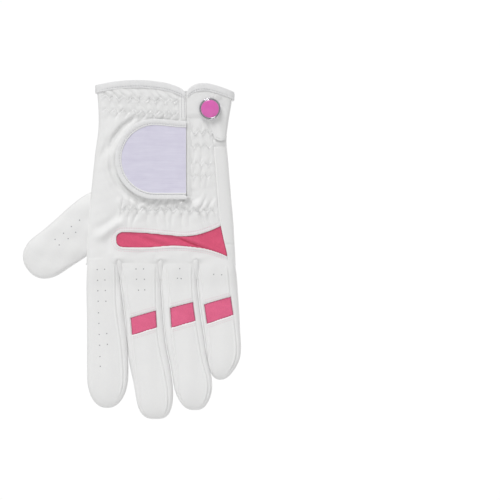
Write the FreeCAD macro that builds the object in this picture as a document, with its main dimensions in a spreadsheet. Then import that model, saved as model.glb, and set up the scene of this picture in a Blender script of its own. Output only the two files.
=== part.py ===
import FreeCAD, Part
import math
import os
import Sketcher

# A left-hand golf glove, cuff up (+Z), fingers down, the back of the hand facing -Y.
# The origin is the middle of the wrist opening. All lengths are millimetres.
# The leather is one thin skin: it is divided where the hand inside it bends, so that every
# stretch between two knuckles is a body of its own.

Vector = FreeCAD.Vector
ALONG_X = Vector(1, 0, 0)
ALONG_Y = Vector(0, 1, 0)
FAR = 200

doc = FreeCAD.newDocument("golf_glove")
sheet = doc.addObject("Spreadsheet::Sheet", "sizes")
pieces = []


# ---------------------------------------------------------------- the sheet of sizes

SIZES = [
    # the skin
    ("leather", 0.8), ("joint_gap", 0.6), ("clearance", 0.3),
    # the hand part: its thickness over the palm and at the knuckles, and where it ends
    ("hand_thick", 13), ("hand_bottom", -112.5),
    # the finger stalls are flat boxes with rounded long edges
    ("finger_thick", 10), ("finger_corner", 3.5), ("face_margin", 0.5), ("finger_start", -109),
    # the wrist slit and the cuff
    ("slit_left", 16.4), ("slit_right", 17.4), ("slit_bottom", -68), ("binding_high", 5.4),
    ("binding_thick", 0.5), ("gusset_bottom", -62),
    # the closing tab: a rectangle with a half disc on its free end
    ("tab_hinge", 17.2), ("tab_middle", -43.5), ("tab_round", 26.5), ("tab_round_x", -3.5),
    ("tab_edge", 4.2), ("tab_under", -8.1), ("tab_leather", 0.8), ("tab_face", 0.4),
    ("tab_leather_inset", 0.4), ("tab_binding_proud", 0.4), ("tab_binding_under", 0.5),
    # the loop patch on the hand and the hook patch under the tab
    ("loop_thick", 0.6), ("loop_inset", 7), ("loop_from_hinge", 4),
    ("hook_thick", 0.7), ("hook_inset", 8), ("hook_from_hinge", 6), ("anchor_thick", 1),
    # the elastics sewn inside the back
    ("elastic_thick", 0.6),
    # the ball marker and its magnetic seat
    ("marker_x", 32.5), ("marker_z", -10.9), ("seat_round", 7.15), ("seat_high", 2.1),
    ("seat_bore", 6.35), ("seat_floor", 0.6), ("magnet_round", 5), ("magnet_thick", 0.6),
    ("marker_round", 6), ("marker_thick", 1.1), ("enamel_round", 5.4), ("enamel_thick", 0.3),
    ("marker_gap", 0.15), ("notch_wide", 3), ("notch_reach", 10), ("notch_start", 5.5),
    ("notch_floor", 0.4), ("post_round", 1.5), ("washer_round", 5.5), ("washer_thick", 0.5),
    # the thumb stall, whose tilt is from straight down towards -X
    ("thumb_x", -46.2), ("thumb_z", -85.5), ("thumb_tilt", 53.9), ("thumb_wide", 31),
    ("thumb_tip", 14), ("thumb_thick", 9), ("thumb_back", -2.5),
    ("thumb_knuckle", 24), ("thumb_lean", 3.7), ("thumb_reach", 22),
    ("thumb_from_start", 56.1), ("thumb_hole_top", -63), ("thumb_hole_bottom", -108),
]

# stall: middle of the base, tilt from straight down, base width, tip radius, length to the
# tip's centre, heights of the two knuckle lines, and the height of the stretch panel
FINGERS = {
    "index": (-38.0, -2.6, 18.6, 13.0, 82.2, -151.0, -177.0, 0),
    "middle": (-13.6, -4.7, 27.4, 12.4, 90.0, -158.3, -182.0, 11),
    "ring": (12.8, -4.3, 23.1, 11.7, 85.4, -151.5, -175.5, 11),
    "little": (36.8, -4.0, 23.9, 10.0, 67.8, -147.2, -165.0, 11),
}
FINGER_SIZES = ("x", "tilt", "wide", "tip", "long", "middle_knuckle", "end_knuckle", "panel")

# hand: height, left edge, right edge and thickness of each cross-section, cuff to knuckles
HAND_SECTIONS = [
    (10, -43.4, 50.8, 13), (-6, -40.0, 48.6, 13), (-30, -39.4, 43.6, 13), (-57, -42.9, 45.5, 13),
    (-86, -46.2, 47.4, 13), (-112.5, -47.5, 49.4, 13),
]
HAND_SECTION_SIZES = ("height", "left", "right", "thick")

# straight strips sewn to the hand: left and right ends, and lower and upper edges
STRIPS = {
    "cuff_band": (-31, 13, -19, -5),
    "gusset_band": (19.5, 33, -58, -25),
    "wrist_elastic": (-32, 35, -81, -71),
    "tab_anchor": (17.8, 20.6, -65, -33),
}
STRIP_SIZES = ("left", "right", "low", "high")

# outlines on the flat of the hand, as points across (X) and up (Z)
OUTLINES = {
    "cuff_back": [(-60, 1.5), (-42.3, 3.3), (-11.7, 6.5), (17, -3.2), (24, 3.9), (49.7, -3.3),
                  (60, -6.2), (60, 30), (-60, 30)],
    "cuff_palm": [(-60, 4.6), (60, -4.0), (60, 30), (-60, 30)],
    "back_zone": [(-36.9, 12), (-33.2, -6), (-33, -30), (-36.4, -57), (-39.7, -86), (-41, -113),
                  (44.3, -113), (39.9, -87), (36.7, -61), (34.8, -31), (40, -6), (42, 12)],
    "palm_zone": [(-36.9, 12), (-33.2, -6), (-33, -30), (-36.4, -57), (-39.7, -86), (-41, -113),
                  (42.9, -113), (40.9, -86), (39, -57), (37.1, -30), (42.1, -6), (44.3, 12)],
    "knuckle_insert": [(-27.9, -95.9), (-23, -91), (12, -94.6), (40.3, -87.1), (50, -85),
                       (50, -106.6), (43.9, -106.6), (12, -100.1), (-23, -100.8)],
    "cuff_flap": [(17.9, -3.0), (24, 3.2), (41.5, -1.9), (37, -29.5), (17.9, -29.5)],
}


def fill_sheet():
    """Write every driving size into the sheet, one row each, with its alias."""
    rows = list(SIZES)
    for finger, values in FINGERS.items():
        rows += [(f"{finger}_{size}", value) for size, value in zip(FINGER_SIZES, values)]
    for number, values in enumerate(HAND_SECTIONS):
        rows += [(f"section_{number}_{size}", value) for size, value in zip(HAND_SECTION_SIZES, values)]
    for strip, values in STRIPS.items():
        rows += [(f"{strip}_{size}", value) for size, value in zip(STRIP_SIZES, values)]
    for outline, points in OUTLINES.items():
        for number, (across, up) in enumerate(points):
            rows += [(f"{outline}_{number}_across", across), (f"{outline}_{number}_up", up)]
    for row, (alias, value) in enumerate(rows, start=1):
        sheet.set(f"A{row}", alias)
        sheet.set(f"B{row}", str(value))
        sheet.setAlias(f"B{row}", alias)
    doc.recompute()


def cell(alias):
    """The expression that reads one size."""
    return f"sizes.{alias}"


def size(alias):
    """The number that one size holds, used only to start a sketch near its solution."""
    return float(sheet.get(alias))


# ---------------------------------------------------------------- ways of making pieces

def keep(name, solid):
    """Name a finished sub-part, so that it is written out."""
    solid.Label = name
    pieces.append(solid)
    return solid


def box(name, across, thick, up):
    """A box between three pairs of planes, each plane a number or an expression."""
    solid = doc.addObject("Part::Box", name)
    spans = zip(("Length", "Width", "Height"), "xyz", (across, thick, up))
    for side, axis, (low, high) in spans:
        solid.setExpression(f"Placement.Base.{axis}", f"{low}")
        solid.setExpression(side, f"({high}) - ({low})")
    return solid


def strip(name, thick):
    """A straight strip that lies flat against the hand, between two Y planes."""
    left, right, low, high = (cell(f"{name}_{part}") for part in STRIP_SIZES)
    return box(name, (left, right), thick, (low, high))


def disc(name, radius, front, high, across=cell("marker_x"), up=cell("marker_z")):
    """A round plate whose front face lies at `front`, standing `high` towards -Y."""
    solid = doc.addObject("Part::Cylinder", name)
    solid.Placement.Rotation = FreeCAD.Rotation(ALONG_X, 90)
    solid.setExpression("Radius", f"{radius}")
    solid.setExpression("Height", f"{high}")
    for axis, place in zip("xyz", (across, front, up)):
        solid.setExpression(f"Placement.Base.{axis}", f"{place}")
    return solid


def join(kind, name, first, second):
    """Cut, Common or Fuse of two objects."""
    solid = doc.addObject(f"Part::{kind}", name)
    solid.Base = first
    solid.Tool = second
    return solid


def bind_constraint(sketch, name, constraint, expression):
    """Add a dimension to a sketch and drive it from the sheet."""
    number = sketch.addConstraint(constraint)
    sketch.renameConstraint(number, name)
    sketch.setExpression(f"Constraints.{name}", expression)


def outline_prism(name, outline, near, far):
    """An outline of straight edges, drawn across and up, and extruded from near to far in Y."""
    sketch = doc.addObject("Sketcher::SketchObject", f"{name}_outline")
    sketch.Placement.Rotation = FreeCAD.Rotation(ALONG_X, 90)
    sketch.setExpression("Placement.Base.y", f"{far}")
    points = [Vector(across, up, 0) for across, up in OUTLINES[outline]]
    for number, point in enumerate(points):
        sketch.addGeometry(Part.LineSegment(point, points[(number + 1) % len(points)]))
    for number in range(len(points)):
        following = (number + 1) % len(points)
        sketch.addConstraint(Sketcher.Constraint("Coincident", number, 2, following, 1))
        alias = f"{outline}_{number}"
        across = Sketcher.Constraint("DistanceX", -1, 1, number, 1, points[number].x)
        bind_constraint(sketch, f"across_{number}", across, cell(f"{alias}_across"))
        up = Sketcher.Constraint("DistanceY", -1, 1, number, 1, points[number].y)
        bind_constraint(sketch, f"up_{number}", up, cell(f"{alias}_up"))
    prism = doc.addObject("Part::Extrusion", name)
    prism.Base = sketch
    prism.DirMode = "Normal"
    prism.Solid = True
    prism.setExpression("LengthFwd", f"({far}) - ({near})")
    return prism


# ---------------------------------------------------------------- finger and thumb stalls

def stall_sketch(body, sizes, inset):
    """The flat shape of a stall: two sides that meet a round tip, hanging from its base line."""
    wide, tip, long = (size(alias) for alias in sizes)
    sketch = body.newObject("Sketcher::SketchObject", f"{body.Name}_sketch")
    plane = [feature for feature in body.Origin.OriginFeatures if feature.Role == "XZ_Plane"]
    sketch.AttachmentSupport = [(plane[0], "")]
    sketch.MapMode = "FlatFace"
    half = wide / 2
    left = Vector(-half, 0, 0)
    right = Vector(half, 0, 0)
    foot_left = Vector(-tip, -long, 0)
    foot_right = Vector(tip, -long, 0)
    sketch.addGeometry(Part.LineSegment(left, right))
    sketch.addGeometry(Part.LineSegment(right, foot_right))
    sketch.addGeometry(Part.LineSegment(foot_left, left))
    round_end = Part.Circle(Vector(0, -long, 0), Vector(0, 0, 1), tip)
    sketch.addGeometry(Part.ArcOfCircle(round_end, math.pi, 2 * math.pi))
    for constraint in (
        ("Coincident", 0, 2, 1, 1), ("Coincident", 2, 2, 0, 1), ("PointOnObject", 0, 1, -1),
        ("Symmetric", 0, 1, 0, 2, -2), ("PointOnObject", 3, 3, -2), ("Tangent", 2, 1, 3, 1),
        ("Tangent", 1, 2, 3, 2),
    ):
        sketch.addConstraint(Sketcher.Constraint(*constraint))
    wide_cell, tip_cell, long_cell = (cell(alias) for alias in sizes)
    base = Sketcher.Constraint("DistanceX", 0, 1, 0, 2, wide)
    bind_constraint(sketch, "base", base, f"{wide_cell} - 2 * ({inset})")
    drop = Sketcher.Constraint("DistanceY", 3, 3, -1, 1, long)
    bind_constraint(sketch, "drop", drop, long_cell)
    bind_constraint(sketch, "tip", Sketcher.Constraint("Radius", 3, tip), f"{tip_cell} - ({inset})")
    return sketch


def stall_blank(name, sizes, place, tilt, thick, inset, rounded):
    """A solid stall, smaller all round by `inset`, with its long edges rounded or left sharp."""
    body = doc.addObject("PartDesign::Body", name)
    sketch = stall_sketch(body, sizes, inset)
    pad = body.newObject("PartDesign::Pad", f"{name}_pad")
    pad.Profile = sketch
    pad.SideType = "Symmetric"
    pad.setExpression("Length", thick)
    if rounded:
        doc.recompute()
        long_edges = [f"Edge{number}" for number, edge in enumerate(pad.Shape.Edges, start=1)
                      if edge.BoundBox.YLength < 1e-6 and edge.BoundBox.ZLength > 1]
        fillet = body.newObject("PartDesign::Fillet", f"{name}_fillet")
        fillet.Base = (pad, long_edges)
        fillet.setExpression("Radius", rounded)
    body.Placement.Rotation = FreeCAD.Rotation(ALONG_Y, 1)
    body.setExpression("Placement.Rotation.Angle", tilt)
    for axis, expression in zip("xyz", place):
        body.setExpression(f"Placement.Base.{axis}", expression)
    return body


def stall_skin(name, sizes, place, tilt, thick):
    """The hollow skin of a stall, its flat faces alone, and its rounded side walls alone."""
    leather = cell("leather")
    corner = cell("finger_corner")
    outer = stall_blank(f"{name}_outer", sizes, place, tilt, thick, "0", corner)
    inner = stall_blank(f"{name}_inner", sizes, place, tilt, f"{thick} - 2 * {leather}", leather,
                        f"{corner} - {leather}")
    face_inset = f"{corner} + {cell('face_margin')}"
    core = stall_blank(f"{name}_core", sizes, place, tilt, f"{thick} + 2", face_inset, None)
    skin = join("Cut", f"{name}_skin", outer, inner)
    faces = join("Common", f"{name}_faces", skin, core)
    walls = join("Cut", f"{name}_walls", skin, core)
    return skin, faces, walls


def finger(name):
    """Three stretches of a finger stall, cut at its knuckles, with a stretch panel if it has one."""
    sizes = [f"{name}_{part}" for part in ("wide", "tip", "long")]
    place = (cell(f"{name}_x"), "0", cell("finger_start"))
    skin, faces, walls = stall_skin(name, sizes, place, cell(f"{name}_tilt"), cell("finger_thick"))
    half_gap = f"{cell('joint_gap')} / 2"
    middle_knuckle = cell(f"{name}_middle_knuckle")
    end_knuckle = cell(f"{name}_end_knuckle")
    stretches = (
        ("proximal", f"{middle_knuckle} + {half_gap}", f"{cell('hand_bottom')} - {half_gap}"),
        ("middle", f"{end_knuckle} + {half_gap}", f"{middle_knuckle} - {half_gap}"),
        ("distal", f"-2 * {FAR}", f"{end_knuckle} - {half_gap}"),
    )
    for stretch, low, high in stretches:
        piece = f"{name}_{stretch}"
        span = (f"-{FAR}", f"{FAR}")
        back_space = box(f"{piece}_back_space", span, (f"-{FAR}", "0"), (low, high))
        whole_space = box(f"{piece}_space", span, span, (low, high))
        back = join("Common", f"{piece}_back_face", faces, back_space)
        if stretch == "distal":
            whole = join("Common", f"{piece}_whole", skin, whole_space)
            keep(f"{piece}_back", back)
            keep(f"{piece}_front", join("Cut", f"{piece}_front", whole, back))
            continue
        front_space = box(f"{piece}_front_space", span, ("0", f"{FAR}"), (low, high))
        keep(f"{piece}_front", join("Common", f"{piece}_front", faces, front_space))
        keep(f"{piece}_fourchettes", join("Common", f"{piece}_fourchettes", walls, whole_space))
        if stretch == "proximal" and size(f"{name}_panel") > 0:
            panel_top = f"{low} + {cell(f'{name}_panel')}"
            panel_space = box(f"{name}_panel_space", span, span, (low, panel_top))
            keep(f"{name}_stretch_panel", join("Common", f"{name}_panel", back, panel_space))
            back = join("Cut", f"{piece}_back_below", back, panel_space)
        keep(f"{piece}_back", back)


def thumb():
    """The thumb stall: it leaves the hand's side along a leaning line and bends once."""
    sizes = ["thumb_wide", "thumb_tip", "thumb_from_start"]
    tilt = cell("thumb_tilt")
    reach = cell("thumb_reach")
    centre = f"{cell('thumb_back')} + {cell('thumb_thick')} / 2"
    place = (f"{cell('thumb_x')} + {reach} * sin({tilt} * 1 deg)", centre,
             f"{cell('thumb_z')} + {reach} * cos({tilt} * 1 deg)")
    skin, faces, walls = stall_skin("thumb", sizes, place, tilt, cell("thumb_thick"))
    doc.removeObject(walls.Name)
    root = box("thumb_root_space", ("0", f"{FAR}"), (f"-{FAR}", f"{FAR}"), (f"-{FAR}", f"{FAR}"))
    root.Placement.Rotation = FreeCAD.Rotation(ALONG_Y, 1)
    root.setExpression("Placement.Rotation.Angle", cell("thumb_lean"))
    lean = f"{cell('thumb_lean')} * 1 deg"
    root.setExpression("Placement.Base.x", f"{cell('thumb_x')} - {cell('clearance')} - {FAR} * sin({lean})")
    root.setExpression("Placement.Base.z", f"{cell('thumb_z')} - {FAR} * cos({lean})")
    half_gap = f"{cell('joint_gap')} / 2"
    knuckle = cell("thumb_knuckle")
    stretches = (("proximal", f"-({knuckle} - {half_gap})", f"{FAR}"),
                 ("distal", f"-{FAR}", f"-({knuckle} + {half_gap})"))
    for stretch, low, high in stretches:
        piece = f"thumb_{stretch}"
        space = thumb_space(f"{piece}_space", f"{FAR}", low, high)
        back_space = thumb_space(f"{piece}_back_space", centre, low, high)
        clear_skin = join("Cut", f"{piece}_skin", skin, root)
        clear_faces = join("Cut", f"{piece}_faces", faces, root)
        whole = join("Common", f"{piece}_whole", clear_skin, space)
        back = join("Common", f"{piece}_back", clear_faces, back_space)
        keep(f"{piece}_back", back)
        keep(f"{piece}_front", join("Cut", f"{piece}_front", whole, back))


def thumb_space(name, y_high, low, high):
    """A slab across the thumb, between two distances along it from the hand's side."""
    slab = doc.addObject("Part::Box", name)
    tilt = f"{cell('thumb_tilt')} * 1 deg"
    slab.Placement.Rotation = FreeCAD.Rotation(ALONG_Y, 1)
    slab.setExpression("Placement.Rotation.Angle", cell("thumb_tilt"))
    slab.setExpression("Length", f"{2 * FAR}")
    slab.setExpression("Width", f"({y_high}) + {FAR}")
    slab.setExpression("Height", f"({high}) - ({low})")
    slab.setExpression("Placement.Base.x", f"{cell('thumb_x')} - {FAR} * cos({tilt}) + ({low}) * sin({tilt})")
    slab.setExpression("Placement.Base.y", f"-{FAR}")
    slab.setExpression("Placement.Base.z", f"{cell('thumb_z')} + {FAR} * sin({tilt}) + ({low}) * cos({tilt})")
    return slab


# ---------------------------------------------------------------- the hand part

def hand_section(name, number, inset):
    """One flat oval across the hand: two straight faces and two half-round edges."""
    height, left, right, thick = (size(f"section_{number}_{part}") for part in HAND_SECTION_SIZES)
    alias = cell(f"section_{number}")
    sketch = doc.addObject("Sketcher::SketchObject", f"{name}_{number}")
    sketch.setExpression("Placement.Base.z", f"{alias}_height")
    edge = thick / 2
    left_centre = Vector(left + edge, 0, 0)
    right_centre = Vector(right - edge, 0, 0)
    rise = Vector(0, edge, 0)
    sketch.addGeometry(Part.LineSegment(left_centre - rise, right_centre - rise))
    right_round = Part.Circle(right_centre, Vector(0, 0, 1), edge)
    sketch.addGeometry(Part.ArcOfCircle(right_round, -math.pi / 2, math.pi / 2))
    sketch.addGeometry(Part.LineSegment(right_centre + rise, left_centre + rise))
    left_round = Part.Circle(left_centre, Vector(0, 0, 1), edge)
    sketch.addGeometry(Part.ArcOfCircle(left_round, math.pi / 2, 3 * math.pi / 2))
    for constraint in (
        ("PointOnObject", 1, 3, -1), ("PointOnObject", 3, 3, -1), ("Equal", 1, 3),
        ("Tangent", 0, 2, 1, 1), ("Tangent", 1, 2, 2, 1), ("Tangent", 2, 2, 3, 1),
        ("Tangent", 3, 2, 0, 1),
    ):
        sketch.addConstraint(Sketcher.Constraint(*constraint))
    half = f"{alias}_thick / 2"
    bind_constraint(sketch, "edge", Sketcher.Constraint("Radius", 1, edge), f"{half} - ({inset})")
    place = Sketcher.Constraint("DistanceX", -1, 1, 3, 3, left_centre.x)
    bind_constraint(sketch, "left", place, f"{alias}_left + {half}")
    place = Sketcher.Constraint("DistanceX", -1, 1, 1, 3, right_centre.x)
    bind_constraint(sketch, "right", place, f"{alias}_right - {half}")
    return sketch


def hand_solid(name, inset):
    """The hand as one smooth solid through its cross-sections, smaller all round by `inset`."""
    loft = doc.addObject("Part::Loft", name)
    loft.Sections = [hand_section(name, number, inset) for number in range(len(HAND_SECTIONS))]
    loft.Solid = True
    loft.Ruled = False
    return loft


def hand():
    """The leather of the hand: back, palm, and the two rounded sides, with the slit and cuff line."""
    outer = hand_solid("hand_outer", "0")
    inner = hand_solid("hand_inner", cell("leather"))
    skin = join("Cut", "hand_skin", outer, inner)
    above_back = outline_prism("above_back", "cuff_back", f"-{FAR}", "0")
    above_palm = outline_prism("above_palm", "cuff_palm", "0", f"{FAR}")
    skin = join("Cut", "hand_skin_back", skin, above_back)
    skin = join("Cut", "hand_skin_trimmed", skin, above_palm)
    back_zone = outline_prism("back_zone", "back_zone", f"-{FAR}", "0")
    palm_zone = outline_prism("palm_zone", "palm_zone", "0", f"{FAR}")
    insert_zone = outline_prism("insert_zone", "knuckle_insert", f"-{FAR}", "0")
    everywhere = (f"-{FAR}", f"{FAR}")
    slit_span = (cell("slit_left"), cell("slit_right"))
    slit = box("slit", slit_span, (f"-{FAR}", "0"), (cell("slit_bottom"), f"{FAR}"))
    back = join("Common", "back_all", skin, back_zone)
    keep("knuckle_insert", join("Common", "knuckle_insert", back, insert_zone))
    back = join("Cut", "back_without_insert", back, insert_zone)
    back = join("Cut", "back_with_slit", back, slit)
    gusset_span = (cell("slit_right"), f"{FAR}")
    gusset_space = box("gusset_space", gusset_span, everywhere, (cell("gusset_bottom"), f"{FAR}"))
    post_hole = disc("post_hole", cell("post_round"), "0", f"{FAR}")
    gusset = join("Common", "gusset_blank", back, gusset_space)
    keep("wrist_gusset", join("Cut", "wrist_gusset", gusset, post_hole))
    keep("back_panel", join("Cut", "back_panel", back, gusset_space))
    keep("palm_panel", join("Common", "palm_panel", skin, palm_zone))
    edges = join("Cut", "edges_back", skin, back_zone)
    edges = join("Cut", "edges", edges, palm_zone)
    left_space = box("left_space", (f"-{FAR}", "0"), everywhere, everywhere)
    behind_thumb_back = (f"{cell('thumb_back')} - {cell('clearance')}", f"{FAR}")
    thumb_hole = box("thumb_hole", (f"-{FAR}", "0"), behind_thumb_back,
                     (cell("thumb_hole_bottom"), cell("thumb_hole_top")))
    left = join("Common", "left_edge", edges, left_space)
    keep("thumb_side_wall", join("Cut", "thumb_side_wall", left, thumb_hole))
    keep("side_strip", join("Cut", "side_strip", edges, left_space))
    cuff_binding(outer, (above_back, above_palm), slit)


def cuff_binding(outer, above, slit):
    """The folded strip over the raw edge of the cuff, outside the leather all round."""
    proud = hand_solid("binding_outer", f"-{cell('binding_thick')}")
    band = join("Cut", "binding_shell", proud, outer)
    band = join("Cut", "binding_back_top", band, above[0])
    band = join("Cut", "binding_top", band, above[1])
    drop = []
    for number, zone in enumerate(above):
        lower = doc.addObject("Part::Feature", f"binding_zone_{number}")
        doc.recompute()
        lower.Shape = zone.Shape
        lower.Placement.Base = Vector(0, 0, -size("binding_high"))
        drop.append(lower)
    low_band = join("Fuse", "binding_zone", drop[0], drop[1])
    band = join("Common", "binding_band", band, low_band)
    keep("cuff_binding", join("Cut", "cuff_binding", band, slit))


def hand_fittings():
    """What is sewn to the hand: elastics inside; flap, loop patch and anchor outside."""
    inside = f"-{cell('hand_thick')} / 2 + {cell('leather')}"
    elastic = (inside, f"{inside} + {cell('elastic_thick')}")
    cuff_band = strip("cuff_band", elastic)
    gusset_band = strip("gusset_band", elastic)
    keep("cuff_elastics", join("Fuse", "cuff_elastics", cuff_band, gusset_band))
    keep("wrist_elastic", strip("wrist_elastic", elastic))
    outside = f"-{cell('hand_thick')} / 2"
    flap_face = f"{outside} - {cell('leather')}"
    flap = outline_prism("cuff_flap_blank", "cuff_flap", flap_face, outside)
    hole = disc("flap_hole", cell("post_round"), "0", f"{FAR}")
    flap = join("Cut", "cuff_flap_below_binding", flap, doc.getObject("binding_zone"))
    keep("cuff_flap", join("Cut", "cuff_flap", flap, hole))
    patch = (f"{outside} - {cell('loop_thick')}", outside)
    keep("loop_patch", tab_plate("loop_patch", cell("loop_inset"), patch, cell("loop_from_hinge")))
    keep("tab_anchor", strip("tab_anchor", (f"{outside} - {cell('anchor_thick')}", outside)))


# ---------------------------------------------------------------- the closing tab

def tab_plate(name, inset, thick, from_hinge="0"):
    """The tab's outline, a rectangle with a half disc, smaller by `inset`, between two Y planes."""
    low, high = thick
    round_x = cell("tab_round_x")
    middle = cell("tab_middle")
    radius = f"{cell('tab_round')} - ({inset})"
    span = (round_x, f"{cell('tab_hinge')} - ({from_hinge})")
    straight = box(f"{name}_straight", span, thick, (f"{middle} - ({radius})", f"{middle} + {radius}"))
    end = disc(f"{name}_round", radius, high, f"({high}) - ({low})", round_x, middle)
    end.Placement.Rotation = FreeCAD.Rotation(ALONG_X, 90).multiply(FreeCAD.Rotation(Vector(0, 0, 1), 90))
    end.Angle = 180
    plate = join("Fuse", f"{name}_plate", straight, end)
    plate.Refine = True
    return plate


def tab():
    """The closing tab: leather, a woven face, a bound edge and a hook patch underneath."""
    under = cell("tab_under")
    top = f"{under} - {cell('tab_leather')}"
    face = f"{top} - {cell('tab_face')}"
    edge = cell("tab_edge")
    leather = tab_plate("tab_leather", cell("tab_leather_inset"), (top, under))
    keep("tab_leather", leather)
    keep("tab_face_panel", tab_plate("tab_face_panel", edge, (face, top)))
    hook = (under, f"{under} + {cell('hook_thick')}")
    keep("tab_hook_patch", tab_plate("tab_hook_patch", cell("hook_inset"), hook, cell("hook_from_hinge")))
    wrapped = (f"{face} - {cell('tab_binding_proud')}", f"{under} + {cell('tab_binding_under')}")
    outside = tab_plate("binding_outline", "0", wrapped)
    inside = tab_plate("binding_inner", edge, (f"{face} - {FAR}", f"{under} + {FAR}"), f"-{FAR}")
    ring = join("Cut", "binding_ring", outside, inside)
    keep("tab_binding", join("Cut", "tab_binding", ring, leather))


# ---------------------------------------------------------------- the ball marker and its seat

def marker():
    """A magnetic cup riveted through the flap, and the enamelled marker that sits in it."""
    face = f"-{cell('hand_thick')} / 2 - {cell('leather')}"
    cup = disc("seat_blank", cell("seat_round"), face, cell("seat_high"))
    floor = f"{face} - {cell('seat_floor')}"
    bore = disc("seat_bore", cell("seat_bore"), floor, f"{FAR}")
    cup = join("Cut", "seat_bored", cup, bore)
    half_notch = f"{cell('notch_wide')} / 2"
    notch_across = (f"{cell('marker_x')} - {half_notch}", f"{cell('marker_x')} + {half_notch}")
    notch_up = (f"{cell('marker_z')} - {cell('notch_reach')}", f"{cell('marker_z')} - {cell('notch_start')}")
    notch = box("seat_notch", notch_across, (f"{face} - {FAR}", f"{floor} - {cell('notch_floor')}"), notch_up)
    keep("marker_seat", join("Cut", "marker_seat", cup, notch))
    keep("seat_magnet", disc("seat_magnet", cell("magnet_round"), floor, cell("magnet_thick")))
    inside = f"-{cell('hand_thick')} / 2 + {cell('leather')}"
    post = disc("seat_post", cell("post_round"), inside, f"2 * {cell('leather')}")
    washer = disc("seat_washer", cell("washer_round"), f"{inside} + {cell('washer_thick')}",
                  cell("washer_thick"))
    keep("seat_rivet", join("Fuse", "seat_rivet", washer, post))
    rest = f"{floor} - {cell('magnet_thick')} - {cell('marker_gap')}"
    coin = disc("marker_blank", cell("marker_round"), rest, cell("marker_thick"))
    enamel_back = f"{rest} - {cell('marker_thick')} + {cell('enamel_thick')}"
    enamel = disc("marker_enamel", cell("enamel_round"), enamel_back, cell("enamel_thick"))
    keep("ball_marker", join("Cut", "ball_marker", coin, enamel))
    keep("marker_enamel", enamel)


# ---------------------------------------------------------------- the whole glove

def check_and_write():
    """Stop if anything failed, then write one STEP file for each sub-part."""
    for thing in doc.Objects:
        if "Invalid" in thing.State or "Error" in thing.State:
            raise RuntimeError(f"{thing.Label} did not compute: {thing.State}")
    os.makedirs("parts", exist_ok=True)
    for solid in pieces:
        shape = solid.Shape
        if shape.isNull() or not shape.isValid() or not shape.Solids:
            raise RuntimeError(f"{solid.Label} has no valid solid")
        print(f"{solid.Label:28s} {shape.Volume:9.1f} mm3 {len(shape.Solids)} solid(s)")
        shape.exportStep(f"parts/{solid.Label}.step")


fill_sheet()
hand()
hand_fittings()
tab()
marker()
for finger_name in FINGERS:
    finger(finger_name)
thumb()
doc.recompute()
check_and_write()
print(len(pieces), "pieces")
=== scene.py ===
import bmesh
import bpy
import numpy as np
from mathutils import Matrix, Vector


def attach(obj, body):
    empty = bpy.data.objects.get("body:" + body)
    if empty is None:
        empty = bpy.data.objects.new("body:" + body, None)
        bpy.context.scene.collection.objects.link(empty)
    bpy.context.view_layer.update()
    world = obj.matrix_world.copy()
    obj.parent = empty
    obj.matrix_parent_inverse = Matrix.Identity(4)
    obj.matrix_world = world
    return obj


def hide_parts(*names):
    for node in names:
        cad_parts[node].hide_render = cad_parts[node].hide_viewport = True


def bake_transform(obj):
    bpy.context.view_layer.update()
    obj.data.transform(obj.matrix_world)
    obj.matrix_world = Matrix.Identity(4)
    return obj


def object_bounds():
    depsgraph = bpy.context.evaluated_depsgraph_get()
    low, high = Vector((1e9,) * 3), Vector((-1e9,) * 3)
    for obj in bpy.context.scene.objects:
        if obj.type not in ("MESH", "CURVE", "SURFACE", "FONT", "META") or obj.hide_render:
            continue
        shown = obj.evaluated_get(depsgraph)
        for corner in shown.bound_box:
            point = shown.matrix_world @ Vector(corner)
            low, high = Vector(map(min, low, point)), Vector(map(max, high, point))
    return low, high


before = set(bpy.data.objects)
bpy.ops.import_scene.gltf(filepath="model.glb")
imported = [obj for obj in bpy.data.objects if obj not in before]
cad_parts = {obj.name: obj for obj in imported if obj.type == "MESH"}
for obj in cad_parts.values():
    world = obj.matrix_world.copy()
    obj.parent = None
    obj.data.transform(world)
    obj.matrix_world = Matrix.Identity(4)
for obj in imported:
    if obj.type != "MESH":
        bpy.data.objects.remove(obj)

cad_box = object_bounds()

# ---------------------------------------------------------------- the studio
# A plain white sweep with a pale floor under the fingertips, one wide soft lamp high on the left
# and even white light from all round. The glove hangs cuff up, square to the camera.

MM = 0.001
FRAME_WIDE = 0.325
VIEW_MIDDLE = Vector((0.0585, -1.5, -0.1027))
FLOOR_DROP = 0.09
SKY_LIGHT = 0.297
GLOSS_LIGHT = 0.62
KEY_LIGHT = 1.87
FILL_LIGHT = 0.15
PALM_LIGHT = 1.1


def add_camera():
    lens = bpy.data.cameras.new("camera")
    lens.type = "ORTHO"
    lens.ortho_scale = FRAME_WIDE
    camera = bpy.data.objects.new("camera", lens)
    camera.location = VIEW_MIDDLE
    camera.rotation_euler = (np.pi / 2, 0, 0)
    bpy.context.scene.collection.objects.link(camera)
    bpy.context.scene.camera = camera


def add_lamp(name, strength, softness, towards):
    light = bpy.data.lights.new(name, "SUN")
    light.energy = strength
    light.angle = softness
    lamp = bpy.data.objects.new(name, light)
    lamp.rotation_euler = Vector(towards).to_track_quat("-Z", "Y").to_euler()
    bpy.context.scene.collection.objects.link(lamp)


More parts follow.
